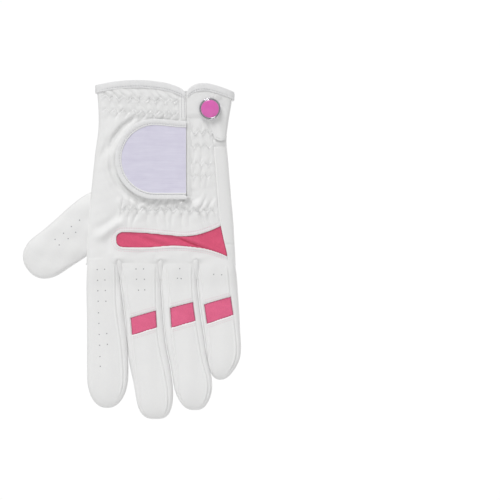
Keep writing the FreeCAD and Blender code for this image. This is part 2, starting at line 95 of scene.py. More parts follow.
def add_sky():
    world = bpy.data.worlds.new("sky")
    world.use_nodes = True
    bpy.context.scene.world = world
    nodes = world.node_tree.nodes
    links = world.node_tree.links
    lit = nodes["Background"]
    lit.inputs["Color"].default_value = (1, 1, 1, 1)
    lit.inputs["Strength"].default_value = SKY_LIGHT
    seen = nodes.new("ShaderNodeBackground")
    seen.inputs["Color"].default_value = (1, 1, 1, 1)
    seen.inputs["Strength"].default_value = 1.02
    mirrored = nodes.new("ShaderNodeBackground")
    mirrored.inputs["Color"].default_value = (1, 1, 1, 1)
    mirrored.inputs["Strength"].default_value = GLOSS_LIGHT
    path = nodes.new("ShaderNodeLightPath")
    below = lit.outputs[0]
    for ray, above in (("Is Glossy Ray", mirrored), ("Is Camera Ray", seen)):
        mix = nodes.new("ShaderNodeMixShader")
        links.new(path.outputs[ray], mix.inputs[0])
        links.new(below, mix.inputs[1])
        links.new(above.outputs[0], mix.inputs[2])
        below = mix.outputs[0]
    links.new(below, nodes["World Output"].inputs[0])


def add_floor():
    work = bmesh.new()
    bmesh.ops.create_grid(work, x_segments=1, y_segments=1, size=6)
    bmesh.ops.translate(work, verts=work.verts, vec=(0, 0, cad_box[0].z - FLOOR_DROP))
    mesh = bpy.data.meshes.new("floor")
    work.to_mesh(mesh)
    work.free()
    paper = bpy.data.materials.new("floor_paper")
    paper.use_nodes = True
    paper.node_tree.nodes["Principled BSDF"].inputs["Base Color"].default_value = (0.96, 0.96, 0.96, 1)
    paper.node_tree.nodes["Principled BSDF"].inputs["Roughness"].default_value = 0.9
    mesh.materials.append(paper)
    floor = bpy.data.objects.new("floor", mesh)
    bpy.context.scene.collection.objects.link(floor)


add_camera()
add_lamp("key", KEY_LIGHT, 0.5, (0.30, 0.66, -0.95))
add_lamp("fill", FILL_LIGHT, 1.2, (-0.9, 0.8, -0.1))
add_lamp("palm_side", PALM_LIGHT, 0.6, (-0.75, -0.85, -0.30))
add_sky()
add_floor()
bpy.context.scene.view_settings.view_transform = "Standard"

# ---------------------------------------------------------------- white leather
# Thin cabretta sheepskin, tawed white: a fine pore grain, a soft satin face, and a faint warm and
# cool drift where it was stretched on the frame. Every leather piece is cut from it.


class Wire:
    """A value inside a finish. An expression on it adds the maths nodes that it needs."""

    def __init__(self, finish, socket):
        self.finish = finish
        self.socket = socket

    def maths(self, operation, first, second):
        return self.finish.node("ShaderNodeMath", {"operation": operation}, {0: first, 1: second})

    def __add__(self, other):
        return self.maths("ADD", self, other)

    def __sub__(self, other):
        return self.maths("SUBTRACT", self, other)

    def __rsub__(self, other):
        return self.maths("SUBTRACT", other, self)

    def __mul__(self, other):
        return self.maths("MULTIPLY", self, other)

    __radd__ = __add__
    __rmul__ = __mul__


class Finish:
    """One material: its shader, and the patterns that feed it."""

    def __init__(self, name, **constants):
        self.material = bpy.data.materials.new(name)
        self.material.use_nodes = True
        self.tree = self.material.node_tree
        self.shader = self.tree.nodes["Principled BSDF"]
        for socket, value in constants.items():
            self.shader.inputs[socket.replace("_", " ")].default_value = value

    def node(self, kind, settings, inputs, output=0):
        made = self.tree.nodes.new(kind)
        for setting, value in settings.items():
            setattr(made, setting, value)
        for socket, value in inputs.items():
            if isinstance(value, Wire):
                self.tree.links.new(value.socket, made.inputs[socket])
            else:
                made.inputs[socket].default_value = value
        return Wire(self, made.outputs[output])

    def place(self, stretch=(1, 1, 1), turn=(0, 0, 0)):
        """Object coordinates in millimetres, stretched and turned."""
        where = self.node("ShaderNodeTexCoord", {}, {}, "Object")
        size = [1000 * share for share in stretch]
        return self.node("ShaderNodeMapping", {}, {"Vector": where, "Scale": size, "Rotation": turn})

    def noise(self, size, detail=2.0, **spot):
        """Soft cloudy pattern, with features about `size` millimetres across."""
        inputs = {"Vector": self.place(**spot), "Scale": 1 / size, "Detail": detail}
        return self.node("ShaderNodeTexNoise", {}, inputs, "Fac")

    def blend(self, share, first, second):
        """A colour between two, by a share."""
        settings = {"data_type": "RGBA"}
        return self.node("ShaderNodeMix", settings, {0: share, 6: first, 7: second}, 2)

    def feed(self, socket, wire):
        self.tree.links.new(wire.socket, self.shader.inputs[socket])

    def relief(self, height, depth):
        """Bump of `depth` millimetres from a height between 0 and 1."""
        inputs = {"Height": height, "Distance": depth * MM, "Strength": 1.0}
        self.feed("Normal", self.node("ShaderNodeBump", {}, inputs))


def paint(red, green, blue):
    """A screen colour, 0 to 255, as the shader's own."""
    shares = np.array((red, green, blue)) / 255
    linear = np.where(shares <= 0.04045, shares / 12.92, ((shares + 0.055) / 1.055) ** 2.4)
    return (*linear.tolist(), 1)


def leather(name, colour, shade, roughness=0.52):
    finish = Finish(name, Roughness=roughness, Sheen_Weight=0.08, Sheen_Roughness=0.5)
    finish.shader.inputs["Specular IOR Level"].default_value = 0.35
    drift = finish.noise(14, 3.0)
    mottle = finish.noise(2.2, 2.0)
    finish.feed("Base Color", finish.blend(drift * 0.55 + mottle * 0.45, shade, colour))
    finish.feed("Roughness", mottle * 0.14 + (roughness - 0.07))
    pores = finish.node("ShaderNodeTexVoronoi", {"feature": "F1"}, {"Vector": finish.place(), "Scale": 1.5})
    creases = finish.noise(0.9, 4.0)
    finish.relief(pores * 0.6 + creases * 0.8, 0.055)
    return finish.material


WHITE = paint(240, 240, 239)
WHITE_SHADE = paint(235, 235, 235)
white_leather = leather("white_leather", WHITE, WHITE_SHADE)

# ---------------------------------------------------------------- the shape of the hand and stalls
# The glove lies flat and empty: the hand part is a flat oval tube, wider at the knuckles than at
# the wrist, and the stalls are narrower ovals that grow out of it side by side.

HAND_HALF = 6.5
HAND_ROUND = 3.6
HAND_ASPECT = 7
STALL_ROUND = 3.4
STALL_ASPECT = 2.5
PARTING = -107.5
KNUCKLES = -112.5
LEFT_EDGE = [(8, -42.0), (-4, -40.5), (-25, -40.1), (-39, -42.0), (-54, -43.6), (-70, -45.3),
             (-85, -46.9), (-98, -47.5), (-112.5, -47.7)]
RIGHT_EDGE = [(8, 49.2), (-7, 46.6), (-19, 44.6), (-29, 43.4), (-47, 44.6), (-67, 46.2), (-87, 47.9),
              (-98, 48.5), (-106, 49.0), (-112.5, 49.2)]
SIDE_SEAM = [(8, 36), (-24, 34.5), (-40, 35.2), (-61, 36.9), (-82, 38.6), (-95, 41.2), (-106, 43.6),
             (-112.5, 44.1)]


def through(points, at):
    """A smooth line through a few (place, value) points, read at `at`."""
    where, value = np.array(sorted(points)).T
    slope = np.gradient(value, where)
    at = np.clip(at, where[0], where[-1])
    index = np.clip(np.searchsorted(where, at) - 1, 0, len(where) - 2)
    step = where[index + 1] - where[index]
    share = (at - where[index]) / step
    rise = share * share * (3 - 2 * share)
    leave = share * (1 - share) ** 2 * slope[index] * step
    arrive = share * share * (1 - share) * slope[index + 1] * step
    return value[index] * (1 - rise) + value[index + 1] * rise + leave - arrive


def ease(share):
    """0 below 0, 1 above 1, and a soft step between."""
    share = np.clip(share, 0, 1)
    return share * share * (3 - 2 * share)


def hump(away, wide):
    return np.exp(-((away / wide) ** 2))


def dome(side, power):
    """How high a flat oval stands, 0 to 1, at a share of its half width."""
    return np.clip(1 - np.abs(np.clip(side, -1, 1)) ** power, 0, 1) ** (1 / power)


def squared(wave, power):
    """A sine or cosine held near its ends, which draws a circle out to a soft rectangle."""
    return np.sign(wave) * np.abs(wave) ** power


def rounded(share):
    """From 0 up to 1 along a quarter of a circle."""
    return np.sqrt(np.clip(1 - (1 - np.clip(share, 0, 1)) ** 2, 0, 1))


def oval(turn, power, aspect):
    """A point on a flat oval, evenly along its rim: from the left edge over the back, then the palm."""
    angle = np.linspace(0, 2 * np.pi, 5761)
    across = -squared(np.cos(angle), 2 / power)
    out = squared(np.sin(angle), 2 / power)
    steps = np.hypot(np.diff(across) * aspect, np.diff(out))
    length = np.concatenate([[0], np.cumsum(steps)])
    return np.interp(turn, length / length[-1], across), np.interp(turn, length / length[-1], out)


class Stall:
    """A finger stall: its two outlines from the knuckles down, its round tip and its seams."""

    def __init__(self, name, left, right, shoulder, tip, blunt, knuckles, splits, seams, panel=None):
        self.name = name
        self.left = left
        self.right = right
        self.shoulder = shoulder
        self.tip = tip
        self.blunt = blunt
        self.middle_knuckle, self.end_knuckle = knuckles
        self.splits = splits
        self.seams = seams
        self.panel = panel

    def edges(self, up):
        """Left and right outline at a height, drawn in to the round tip."""
        left = through(self.left, up)
        right = through(self.right, up)
        past = np.clip((self.shoulder - up) / (self.shoulder - self.tip), 0, 1)
        share = (1 - past ** self.blunt) ** (1 / self.blunt)
        middle = (left + right) / 2
        return middle - (middle - left) * share, middle + (right - middle) * share

    def half_thick(self, up):
        past = np.clip((self.shoulder + 4 - up) / (self.shoulder + 4 - self.tip), 0, 1)
        return (5.0 + 1.2 * ease((up + 128) / 14)) * (1 - past ** 2.4) ** 0.5

    def rise(self, across, up):
        """How far the plain stall stands out from its middle plane."""
        left, right = self.edges(up)
        side = (2 * across - left - right) / np.maximum(right - left, 1e-6)
        return self.half_thick(up) * dome(side, STALL_ROUND)

    def seam_lines(self, up):
        """Where the back panel is sewn to the strips at its sides."""
        left, right = self.edges(up)
        return left + through(self.seams[0], up), right - through(self.seams[1], up)


STALLS = [
    Stall("index", [(-105, -46.6), (-116, -47.5), (-150, -47.4), (-206, -47.4)],
          [(-105, -28.3), (-129, -25.1), (-145, -23.1), (-176, -20.6), (-206, -21.2)],
          -184, -205.4, 2.2, (-151, -177), (-131.5, -165),
          ([(-105, 9.0), (-206, 9.0)], [(-105, 0.9), (-119, 2.4), (-140, 4.6), (-160, 4.0), (-206, 2.2)])),
    Stall("middle",
          [(-105, -27.9), (-129, -24.7), (-145, -22.7), (-176, -19.9), (-191, -16.9), (-213, -13.6)],
          [(-105, -0.4), (-134, 1.1), (-165, 3.9), (-181, 7.0), (-191, 8.3), (-213, 8.0)],
          -196, -212.6, 3.0, (-158.3, -182), (-134, -171.5),
          ([(-105, 1.5), (-150, 3.2), (-213, 1.6)], [(-105, 2.0), (-130, 3.6), (-176, 4.2), (-213, 2.2)]),
          (-146.8, -158.1, -141.9, -153.0)),
    Stall("ring", [(-105, 0.0), (-134, 1.5), (-165, 4.3), (-181, 7.5), (-191, 9.0), (-207, 12.6)],
          [(-105, 22.9), (-134, 25.0), (-155, 28.0), (-176, 31.2), (-187, 33.8), (-207, 32.6)],
          -189, -206.8, 2.7, (-151.5, -175.5), (-131.5, -164.5),
          ([(-105, 2.0), (-119, 3.7), (-150, 4.4), (-207, 1.2)], [(-105, 1.8), (-120, 3.0), (-207, 2.3)]),
          (-140.3, -153.3, -136.4, -148.7)),
    Stall("little", [(-105, 23.4), (-134, 25.4), (-155, 28.4), (-170, 30.3), (-187, 30.6)],
          [(-105, 47.9), (-116, 49.6), (-134, 51.0), (-153, 52.1), (-172, 52.3), (-187, 48.0)],
          -169, -187.1, 2.3, (-147.2, -165), (-129, -157),
          ([(-105, 1.6), (-140, 2.6), (-187, 1.0)], [(-105, 5.4), (-130, 5.0), (-150, 3.4), (-187, 2.2)]),
          (-138.0, -150.8, -132.9, -144.8)),
]


def hand_side(across, up):
    left = through(LEFT_EDGE, up)
    right = through(RIGHT_EDGE, up)
    return (2 * across - left - right) / (right - left)


def hand_across(side, up):
    """The place across the hand for a side, -1 at the left edge to 1 at the right."""
    left = through(LEFT_EDGE, up)
    right = through(RIGHT_EDGE, up)
    return (left + right) / 2 + side * (right - left) / 2


def hand_plain(across, up):
    """How far the plain hand part stands out; near the knuckles it parts into the stalls."""
    flat = HAND_HALF * dome(hand_side(across, up), HAND_ROUND)
    stalls = np.max([stall.rise(across, np.minimum(up, KNUCKLES)) for stall in STALLS], axis=0)
    parting = ease((PARTING - up) / (PARTING - KNUCKLES))
    return flat * (1 - parting) + stalls * parting


# ---------------------------------------------------------------- back of the hand
# The main back panel and, right of the wrist slit, its elasticated gusset: one thickness of
# leather, gathered on zigzag-stitched elastic in rows at the cuff, the gusset and the wrist.

SLIT = (16.85, 17.1)
SLIT_END = -66.5
SLIT_HEM = 12.7
SLIT_HEM_END = -19
# a short ridge or dent: its middle, half width, half height, lean and height
SLIT_KNOT = [(14.0, -72.2, 2.0, 1.7, 0, 2.4), (11.5, -73, 1.0, 3.2, -0.3, -0.9),
             (16.5, -73, 0.9, 3.0, 0.3, -0.8)]
CROTCH_BUMPS = [(0.6, -109.5, 2.6, 2.2, 0, 0.5), (-3.4, -108.5, 1.6, 3.0, 0, -0.45)]
TAB_PRINT = (-3.0, -43.5, 29.4)
CUFF_BACK_LEFT = [(-43, 4.2), (-31, 6.7), (-18, 7.8), (-5, 7.3), (8.2, 4.7), (14.7, 1.6), (17, -0.6)]
CUFF_BACK_RIGHT = [(17, 0.2), (18.6, 2.2), (21.3, 4.2), (27.8, 5.9), (36.5, 4.4), (45.2, 1.3), (50.2, -0.9)]
BINDING_HIGH = 5.2

# a row of gathers: height at X=0, slope, left end, right end, pitch, lean of the folds above
# (at X=0, and its change across), the same below, puff height, and their reach up and down
GATHER_ROWS = [
    (-5.6, -0.055, -41, 13.4, 6.0, (0.9, 0.0), (0.5, 0.0), 1.25, 5.0, 3.2),
    (-13.9, -0.045, -41, 13.4, 5.9, (0.6, 0.0), (-0.6, 0.0), 1.15, 3.2, 4.2),
    (-26.3, 0.0, 17, 36, 5.0, (0.3, 0.0), (0.3, 0.0), 1.2, 5.0, 4.0),
    (-35.4, 0.0, 17, 35, 4.9, (0.3, 0.0), (0.2, 0.0), 0.95, 4.0, 4.5),
    (-46.6, 0.0, 17, 35, 4.8, (-0.2, 0.0), (0.3, 0.0), 0.9, 4.5, 4.0),
    (-54.6, 0.0, 17, 35.5, 4.8, (-0.3, 0.0), (0.1, 0.0), 0.95, 3.8, 6.0),
    (-76.7, -0.02, -29, 37, 5.5, (-0.2, -0.008), (0.0, 0.010), 1.5, 7.0, 8.0),
]
# a soft fold in the leather: two ends, half width and height
FOLDS = [
    (-41, -49, -16, -15.5, 2.6, -1.3), (-38, -54, -10, -16, 3.4, 0.9), (-44, -44, -22, -14, 3.0, 0.6),
    (-33, -58, -26, -71, 3.0, -0.6), (-24, -75, -45, -91, 2.6, -0.8), (-22, -80, -46, -97, 2.6, 1.5),
    (-33, -87, -34, -106, 3.2, -0.7), (-25, -84, -40, -102, 3.0, -0.4),
    (-9, -67, -17, -75, 1.6, -0.6), (-2, -67, -9, -75, 1.5, -0.6), (6, -67, 0, -75, 1.4, -0.7),
    (14, -70, 9, -77, 1.3, -0.8), (20, -62, 24, -72, 2.0, -0.5), (31, -60, 33, -74, 2.4, -0.4),
    (-30, -86, -8, -90, 3.0, 0.4), (2, -103, 18, -108, 4.0, 0.35), (-16, -104, -36, -110, 5.0, 0.3),
]
INSERT_TOP = [(-30, -91.3), (-24.0, -91.3), (-12, -91.6), (-3.8, -92.3), (6, -93.2), (14.7, -94.0),
              (22, -93.4), (31, -90.9), (37, -88.4), (45, -84.0)]
INSERT_BOTTOM = [(-30, -100.7), (-24.0, -100.7), (-12.6, -101.0), (-3.8, -100.6), (8.2, -99.8),
                 (20.2, -100.5), (31.1, -102.2), (39.8, -105.0), (45, -107.3)]
INSERT_END = -28.6
INSERT_END_ROUND = 4.7
INSERT_END_UP = -96.0
INSERT_DEEP = 0.55
INSERT_RIM_HIGH = 0.45
DEEPEST_CREASE = 1.1
LEATHER_UNDER_INSERT = 2.2
TUCK_DEEP = 0.14
LEATHER_THICK = 0.7
ZIGZAG_HIGH = 1.5
# how far under the binding's top the leather's raw edge stops
RAW_EDGE = 0.8


def row_height(row, across):
    return row[0] + row[1] * across


def zigzag_at(row, across):
    """The zigzag thread's height over its row, -1 to 1."""
    share = (across / row[4]) % 1.0
    return 4 * np.abs(share - 0.5) - 1.0


def gathers(row, across, up):
    """Puffs between pinched creases over one row of stretched elastic, and the thread's teeth."""
    _, _, left, right, pitch, lean_up, lean_down, high, reach_up, reach_down = row
    away = up - row_height(row, across)
    wander = 0.5 * np.sin(across * 0.21 + row[0]) + 0.3 * np.sin(across * 0.53 + row[0] * 2)
    lean = np.where(away > 0, lean_up[0] + lean_up[1] * across, lean_down[0] + lean_down[1] * across)
    wave = np.abs(np.cos(np.pi * ((across + lean * away) / pitch + wander * np.abs(away) / 14)))
    reach = np.where(away > 0, reach_up, reach_down)
    strength = 1.25 + 0.3 * np.sin(across * 0.47 + row[0] * 1.7)
    ends = ease((across - left) / 5) * ease((right - across) / 3)
    pinch = 1 - 0.85 * hump(away, 1.9)
    puffs = high * strength * (wave ** 0.75 - 0.6) * hump(away, reach) * pinch
    tooth = away - ZIGZAG_HIGH * zigzag_at(row, across)
    below = 0.95 * np.exp(np.minimum(tooth, 0) / 1.4)
    above = -0.80 * np.exp(-np.maximum(tooth, 0) / 1.0)
    teeth = below + (above - below) * ease(tooth / 0.5 + 0.5)
    return (puffs + teeth * high) * ends


def fold(line, across, up):
    """A long soft ridge or valley that fades at both ends."""
    x0, z0, x1, z1, wide, high = line
    run = np.hypot(x1 - x0, z1 - z0)
    along = ((across - x0) * (x1 - x0) + (up - z0) * (z1 - z0)) / run
    bow = 0.06 * run * np.sin(np.pi * np.clip(along / run, 0, 1))
    off = ((across - x0) * (z1 - z0) - (up - z0) * (x1 - x0)) / run + bow
    fade = ease(along / (0.3 * run)) * ease((run - along) / (0.3 * run))
    return high * hump(off, wide) * fade


def insert_edges(across):
    """The insert's upper and lower edge, which meet in a round left end."""
    past = np.clip((INSERT_END + INSERT_END_ROUND - across) / INSERT_END_ROUND, 0, 1)
    open_share = np.sqrt(1 - past ** 2.2)
    top = INSERT_END_UP + (through(INSERT_TOP, across) - INSERT_END_UP) * open_share
    bottom = INSERT_END_UP + (through(INSERT_BOTTOM, across) - INSERT_END_UP) * open_share
    return top, bottom


def insert_share(across, up):
    """1 inside the knuckle insert's outline, 0 outside, with a steep edge."""
    top, bottom = insert_edges(across)
    inside = ease((top - up) / 0.5 + 0.5) * ease((up - bottom) / 0.5 + 0.5)
    return inside * ease((across - INSERT_END) / 0.4)


def ripple(across, up):
    """The slight unevenness of a soft skin that nothing stretches."""
    slow = np.sin(0.23 * across + 0.11 * up + 1.0) * np.sin(0.16 * up - 0.07 * across)
    quick = np.sin(0.61 * across - 0.38 * up) * np.sin(0.29 * across + 0.55 * up + 2.0)
    return 0.22 * slow + 0.09 * quick


def spot(bump, across, up):
    """A short ridge or dent that leans across."""
    middle_across, middle_up, wide, reach, lean, high = bump
    return high * hump(across - middle_across - lean * (up - middle_up), wide) * hump(up - middle_up, reach)


def tab_print(across, up):
    """The crease and the soft ridge that the tab's round end has pressed into the back."""
    middle_across, middle_up, radius = TAB_PRINT
    away = np.hypot(across - middle_across, up - middle_up) - radius
    return (0.5 * hump(away - 2.8, 1.7) - 0.8 * hump(away, 1.3)) * ease((-10 - across) / 9)


def back_detail(across, up):
    detail = ripple(across, up) + tab_print(across, up)
    detail = detail - 0.55 * hump(across - SLIT_HEM, 0.45) * ease((up - SLIT_HEM_END) / 1.5)
    for row in GATHER_ROWS:
        detail = detail + gathers(row, across, up)
    for line in FOLDS:
        detail = detail + fold(line, across, up)
    detail = np.maximum(detail, -DEEPEST_CREASE)
    top, bottom = insert_edges(across)
    rim = np.minimum(np.abs(up - top), np.abs(up - bottom))
    folded = hump(rim - 1.0, 0.8) * ease(across - INSERT_END + 0.9)
    detail = detail + INSERT_RIM_HIGH * folded * (1 - insert_share(across, up))
    detail = detail - LEATHER_UNDER_INSERT * insert_share(across, up)
    for left_stall, right_stall in zip(STALLS, STALLS[1:]):
        crotch = (left_stall.edges(KNUCKLES)[1] + right_stall.edges(KNUCKLES)[0]) / 2
        for bump in CROTCH_BUMPS:
            detail = detail + spot(bump, across - crotch, up)
    for bump in SLIT_KNOT:
        detail = detail + spot(bump, across, up)
    return detail


def side_groove(across, up):
    """How deep the side seam draws the leather in."""
    return 0.45 * hump(across - through(SIDE_SEAM, up), 0.5)


def hand_rise(across, up):
    """How far the finished back stands out, gathers and folds included."""
    side = np.abs(hand_side(across, up))
    loose = ease((1 - side) / 0.10)
    near_knuckles = 1 - ease((-108.2 - up) / 3.3)
    sewn = -side_groove(across, up)
    tucked = TUCK_DEEP * ease((-109.8 - up) / 2.7)
    return hand_plain(across, up) + (back_detail(across, up) * loose + sewn) * near_knuckles - tucked


def cuff_line(across, back=True):
    if not back:
        return 4.0 - 0.054 * (across + 43)
    left = through(CUFF_BACK_LEFT, across)
    right = through(CUFF_BACK_RIGHT, across)
    return np.where(across < 17, left, right)


def skin(name, columns, rows, shape, finish, closed=False, thick=LEATHER_THICK):
    """A piece of leather: a grid laid over the shape, then given its thickness inwards."""
    work = bmesh.new()
    bmesh.ops.create_grid(work, x_segments=columns, y_segments=rows, size=0.5)
    flat = np.array([vert.co[:] for vert in work.verts]) + 0.5
    points = np.stack(shape(flat[:, 0], 1 - flat[:, 1]), axis=1) * MM
    for vert, point in zip(work.verts, points):
        vert.co = point
    if closed:
        bmesh.ops.remove_doubles(work, verts=work.verts, dist=1e-6)
    if closed and not thick:
        bmesh.ops.recalc_face_normals(work, faces=work.faces)
    return finish_piece(name, work, finish, thick)


def finish_piece(name, work, finish, thick=0.0):
    """Make the worked shape a smooth object of its own, with a wall where it has a thickness."""
    for face in work.faces:
        face.smooth = True
    for edge in work.edges:
        if edge.is_boundary:
            edge.smooth = False
    mesh = bpy.data.meshes.new(name)
    work.to_mesh(mesh)
    work.free()
    mesh.materials.append(finish)
    piece = bpy.data.objects.new(name, mesh)
    bpy.context.scene.collection.objects.link(piece)
    if thick:
        wall = piece.modifiers.new("thickness", "SOLIDIFY")
        wall.thickness = thick * MM
        wall.offset = -1
    return piece


def hand_turn(across, up):
    """Where a point of the back lies round the oval, as a share of the whole rim."""
    turns = np.linspace(0, 0.5, 400)
    side, _ = oval(turns, HAND_ROUND, HAND_ASPECT)
    return np.interp(hand_side(across, up), side, turns)


def back_shape(share, drop):
    """The back panel, from the left edge to the side seam and from the cuff to the knuckles."""
    up = 0.0 * share
    for _ in range(3):
        turn = share * hand_turn(through(SIDE_SEAM, up), up)
        side, _ = oval(turn, HAND_ROUND, HAND_ASPECT)
        across = hand_across(side, up)
        top = cuff_line(across) - RAW_EDGE
        up = top + (KNUCKLES - top) * drop
    return across, np.where(share > 0, -hand_rise(across, up), 0), up


def cut_slit(piece):
    """Open the wrist slit: two straight cuts, and the strip between them taken out."""
    work = bmesh.new()
    work.from_mesh(piece.data)
    for edge in SLIT:
        geometry = work.verts[:] + work.edges[:] + work.faces[:]
        bmesh.ops.bisect_plane(work, geom=geometry, plane_co=(edge * MM, 0, 0), plane_no=(1, 0, 0))
    strip = [face for face in work.faces
             if SLIT[0] * MM < face.calc_center_median().x < SLIT[1] * MM
             and face.calc_center_median().z > SLIT_END * MM]
    bmesh.ops.delete(work, geom=strip, context="FACES")
    work.to_mesh(piece.data)
    work.free()


def belongs(piece, body, slot_name, *nodes):
    """Let a piece move with its body and stand for its design pieces, which it hides. slot_name is not used.
    """
    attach(piece, body)
    if nodes:
        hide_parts(*nodes)


back_skin = skin("back_skin", 180, 232, back_shape, white_leather)
cut_slit(back_skin)
belongs(back_skin, "hand", "white_leather", "back_panel", "wrist_gusset")

# ---------------------------------------------------------------- palm and side strip
# One piece of leather makes the palm, turns round the little-finger side and is sewn to the back
# along the side seam. It is smooth, with a few lines where the hand closes.

PALM_FOLDS = [
    (-12, -52, -8, -104, 4.0, -0.6), (38, -92, -14, -80, 3.0, -0.5), (34, -103, -20, -99, 3.0, -0.45),
    (-30, -40, 30, -46, 4.0, -0.4), (14, -52, 20, -88, 5.0, 0.5), (-36, -44, -18, -60, 3.0, 0.5),
]
PALM_ROWS = [
    (-21.0, 0.0, -34, 36, 5.6, (0.0, 0.0), (0.0, 0.0), 0.8, 6.0, 6.0),
    (-28.5, 0.0, -34, 36, 5.6, (0.0, 0.0), (0.0, 0.0), 0.8, 5.0, 7.0),
]
# the seam round the thumb: its middle and radius
THUMB_SEAM = (-52.0, -86.0, 29.0)
# the patch at the heel: its middle, half width and half height
HEEL_PATCH = (19.0, -66.0, 15.5, 23.0)
HEEL_ROUND = 2.4
HEEL_LEAN = 0.18
HEEL_HIGH = 0.55
# the strip's hem under the flap and the seam across it: height, half width and how proud
STRIP_HEMS = [(-32.8, 1.2, 0.5), (-35.2, 0.5, -0.5), (-99, 0.45, -0.45)]


def heel_share(across, up):
    """How far out from the middle of the heel patch: 1 at its edge."""
    middle_across, middle_up, wide, high = HEEL_PATCH
    beside = across - middle_across - HEEL_LEAN * (up - middle_up)
    sideways = np.abs(beside / wide) ** HEEL_ROUND
    upward = np.abs((up - middle_up) / high) ** HEEL_ROUND
    return (sideways + upward) ** (1 / HEEL_ROUND)


def palm_rise(across, up):
    """How far the finished palm stands out behind the hand's middle plane."""
    detail = 0.8 * ripple(across + 20, up - 13)
    for line in PALM_FOLDS:
        detail = detail + fold(line, across, up)
    for row in PALM_ROWS:
        detail = detail + gathers(row, across, up)
    middle_across, middle_up, radius = THUMB_SEAM
    away = np.hypot(across - middle_across, up - middle_up) - radius
    detail = detail - 0.6 * hump(away, 0.6) + 0.3 * hump(away + 1.1, 0.7)
    detail = detail + HEEL_HIGH * ease((1 - heel_share(across, up)) / 0.035)
    loose = ease((1 - np.abs(hand_side(across, up))) / 0.12)
    near_knuckles = 1 - ease((-107 - up) / 5)
    tucked = TUCK_DEEP * ease((-109.8 - up) / 2.7)
    return hand_plain(across, up) + detail * loose * near_knuckles - tucked


def palm_shape(share, drop):
    """From the side seam round the little-finger edge, then across the palm to the left edge."""
    up = 0.0 * share
    for _ in range(3):
        start = hand_turn(through(SIDE_SEAM, up), up)
        turn = start + share * (1 - start)
        side, out = oval(turn, HAND_ROUND, HAND_ASPECT)
        across = hand_across(side, up)
        top = np.where(out > 0, cuff_line(across), cuff_line(across, back=False)) - RAW_EDGE
        up = top + (KNUCKLES - top) * drop
    near = 1 - ease((-109.5 - up) / 3.0)
    strip = hand_plain(across, up) - side_groove(across, up) * near
    for level, wide, high in STRIP_HEMS:
        strip = strip + high * hump(up - level, wide)
    return across, np.where(out > 0, -strip, palm_rise(across, up)) * (share < 1), up


palm_skin = skin("palm_skin", 210, 190, palm_shape, white_leather)
belongs(palm_skin, "hand", "white_leather", "palm_panel", "side_strip", "thumb_side_wall")

# ---------------------------------------------------------------- finger stalls
# Each stall is a back panel and a palm panel with narrow strips sewn between them. It is cut here
# between its knuckles, where the leather never bends, into a length for each knuckle.

BEND_START = -111.0
BEND_END = -123.0
# how far above and below a knuckle the leather bends
MIDDLE_BEND = (7, 6.5)
END_BEND = 5
TUCK = -109.0
STALL_THICK = 0.6
PANEL_RECESS = 1.1
SEAM_WIDE = 0.42
SEAM_DEEP = 0.50
# the pinch at the index stall's right seam, where its leather buckles
INDEX_PINCH = (-25.2, -136.0, 1.9, 8.5, 0, 1.2)


def panel_edges(stall, across, up):
    """The slanting top and bottom of the stretch panel, at a place across the stall."""
    left, right = stall.seam_lines(up)
    share = np.clip((across - left) / np.maximum(right - left, 1e-6), -0.2, 1.2)
    top_left, bottom_left, top_right, bottom_right = stall.panel
    return top_left + (top_right - top_left) * share, bottom_left + (bottom_right - bottom_left) * share


def stall_detail(stall, across, up):
    """Seams, the recess of the stretch panel, and the soft creases of an empty stall."""
    left, right = stall.seam_lines(up)
    along = ease((KNUCKLES + 1 - up) / 4) * (1 - ease((stall.shoulder - 8 - up) / 8))
    detail = 0.22 * np.sin(0.5 * across + 0.03 * up + stall.tip) * np.sin(0.045 * up)
    detail = detail + 0.10 * np.sin(0.33 * up + 0.5 * across) * hump(up - stall.middle_knuckle, 12)
    for line, inward in ((left, 1), (right, -1)):
        if stall.name == "index" and inward == 1:
            continue
        detail = detail - SEAM_DEEP * hump(across - line, SEAM_WIDE)
        detail = detail + 0.32 * hump(across - line - 0.8 * inward, 0.6)
    if stall.panel:
        top, bottom = panel_edges(stall, across, up)
        inside = ease((top - up) / 0.5 + 0.5) * ease((up - bottom) / 0.5 + 0.5)
        inside = inside * ease((across - left) / 0.5 + 0.5) * ease((right - across) / 0.5 + 0.5)
        detail = detail - PANEL_RECESS * inside
    if stall.name == "index":
        detail = detail + spot(INDEX_PINCH, across, up)
    return detail * along


def stall_rise(stall, across, up):
    left, right = stall.edges(up)
    side = np.abs((2 * across - left - right) / np.maximum(right - left, 1e-6))
    return stall.rise(across, up) + stall_detail(stall, across, up) * ease((1 - side) / 0.14)


def stall_shape(stall, high, low):
    """The skin of one length of a stall, for a grid from its upper to its lower end."""
    def shape(share, drop):
        run = drop
        if low <= stall.tip:
            run = np.sin(drop * np.pi / 2)
        up = high + (low - high) * run
        left, right = stall.edges(up)
        side, out = oval(share, STALL_ROUND, STALL_ASPECT)
        across = (left + right) / 2 + side * (right - left) / 2
        back = stall_rise(stall, across, up)
        palm = stall.rise(across, up)
        tucked = TUCK_DEEP * ease((up + 112.4) / 3.0)
        rise = np.where(out >= 0, back, palm) - tucked
        return across, -np.sign(out) * np.maximum(rise, 0), up
    return shape


def lengths(stall):
    """Each length of a stall: name, ends, the two bodies it joins and where it bends."""
    first, second = stall.splits
    name = stall.name
    yield "root", TUCK, first, "hand", f"{name}_proximal", BEND_START, BEND_END
    bend = stall.middle_knuckle
    above, below = MIDDLE_BEND
    yield "middle", first, second, f"{name}_proximal", f"{name}_middle", bend + above, bend - below
    bend = stall.end_knuckle
    yield "tip", second, stall.tip, f"{name}_middle", f"{name}_distal", bend + END_BEND, bend - END_BEND


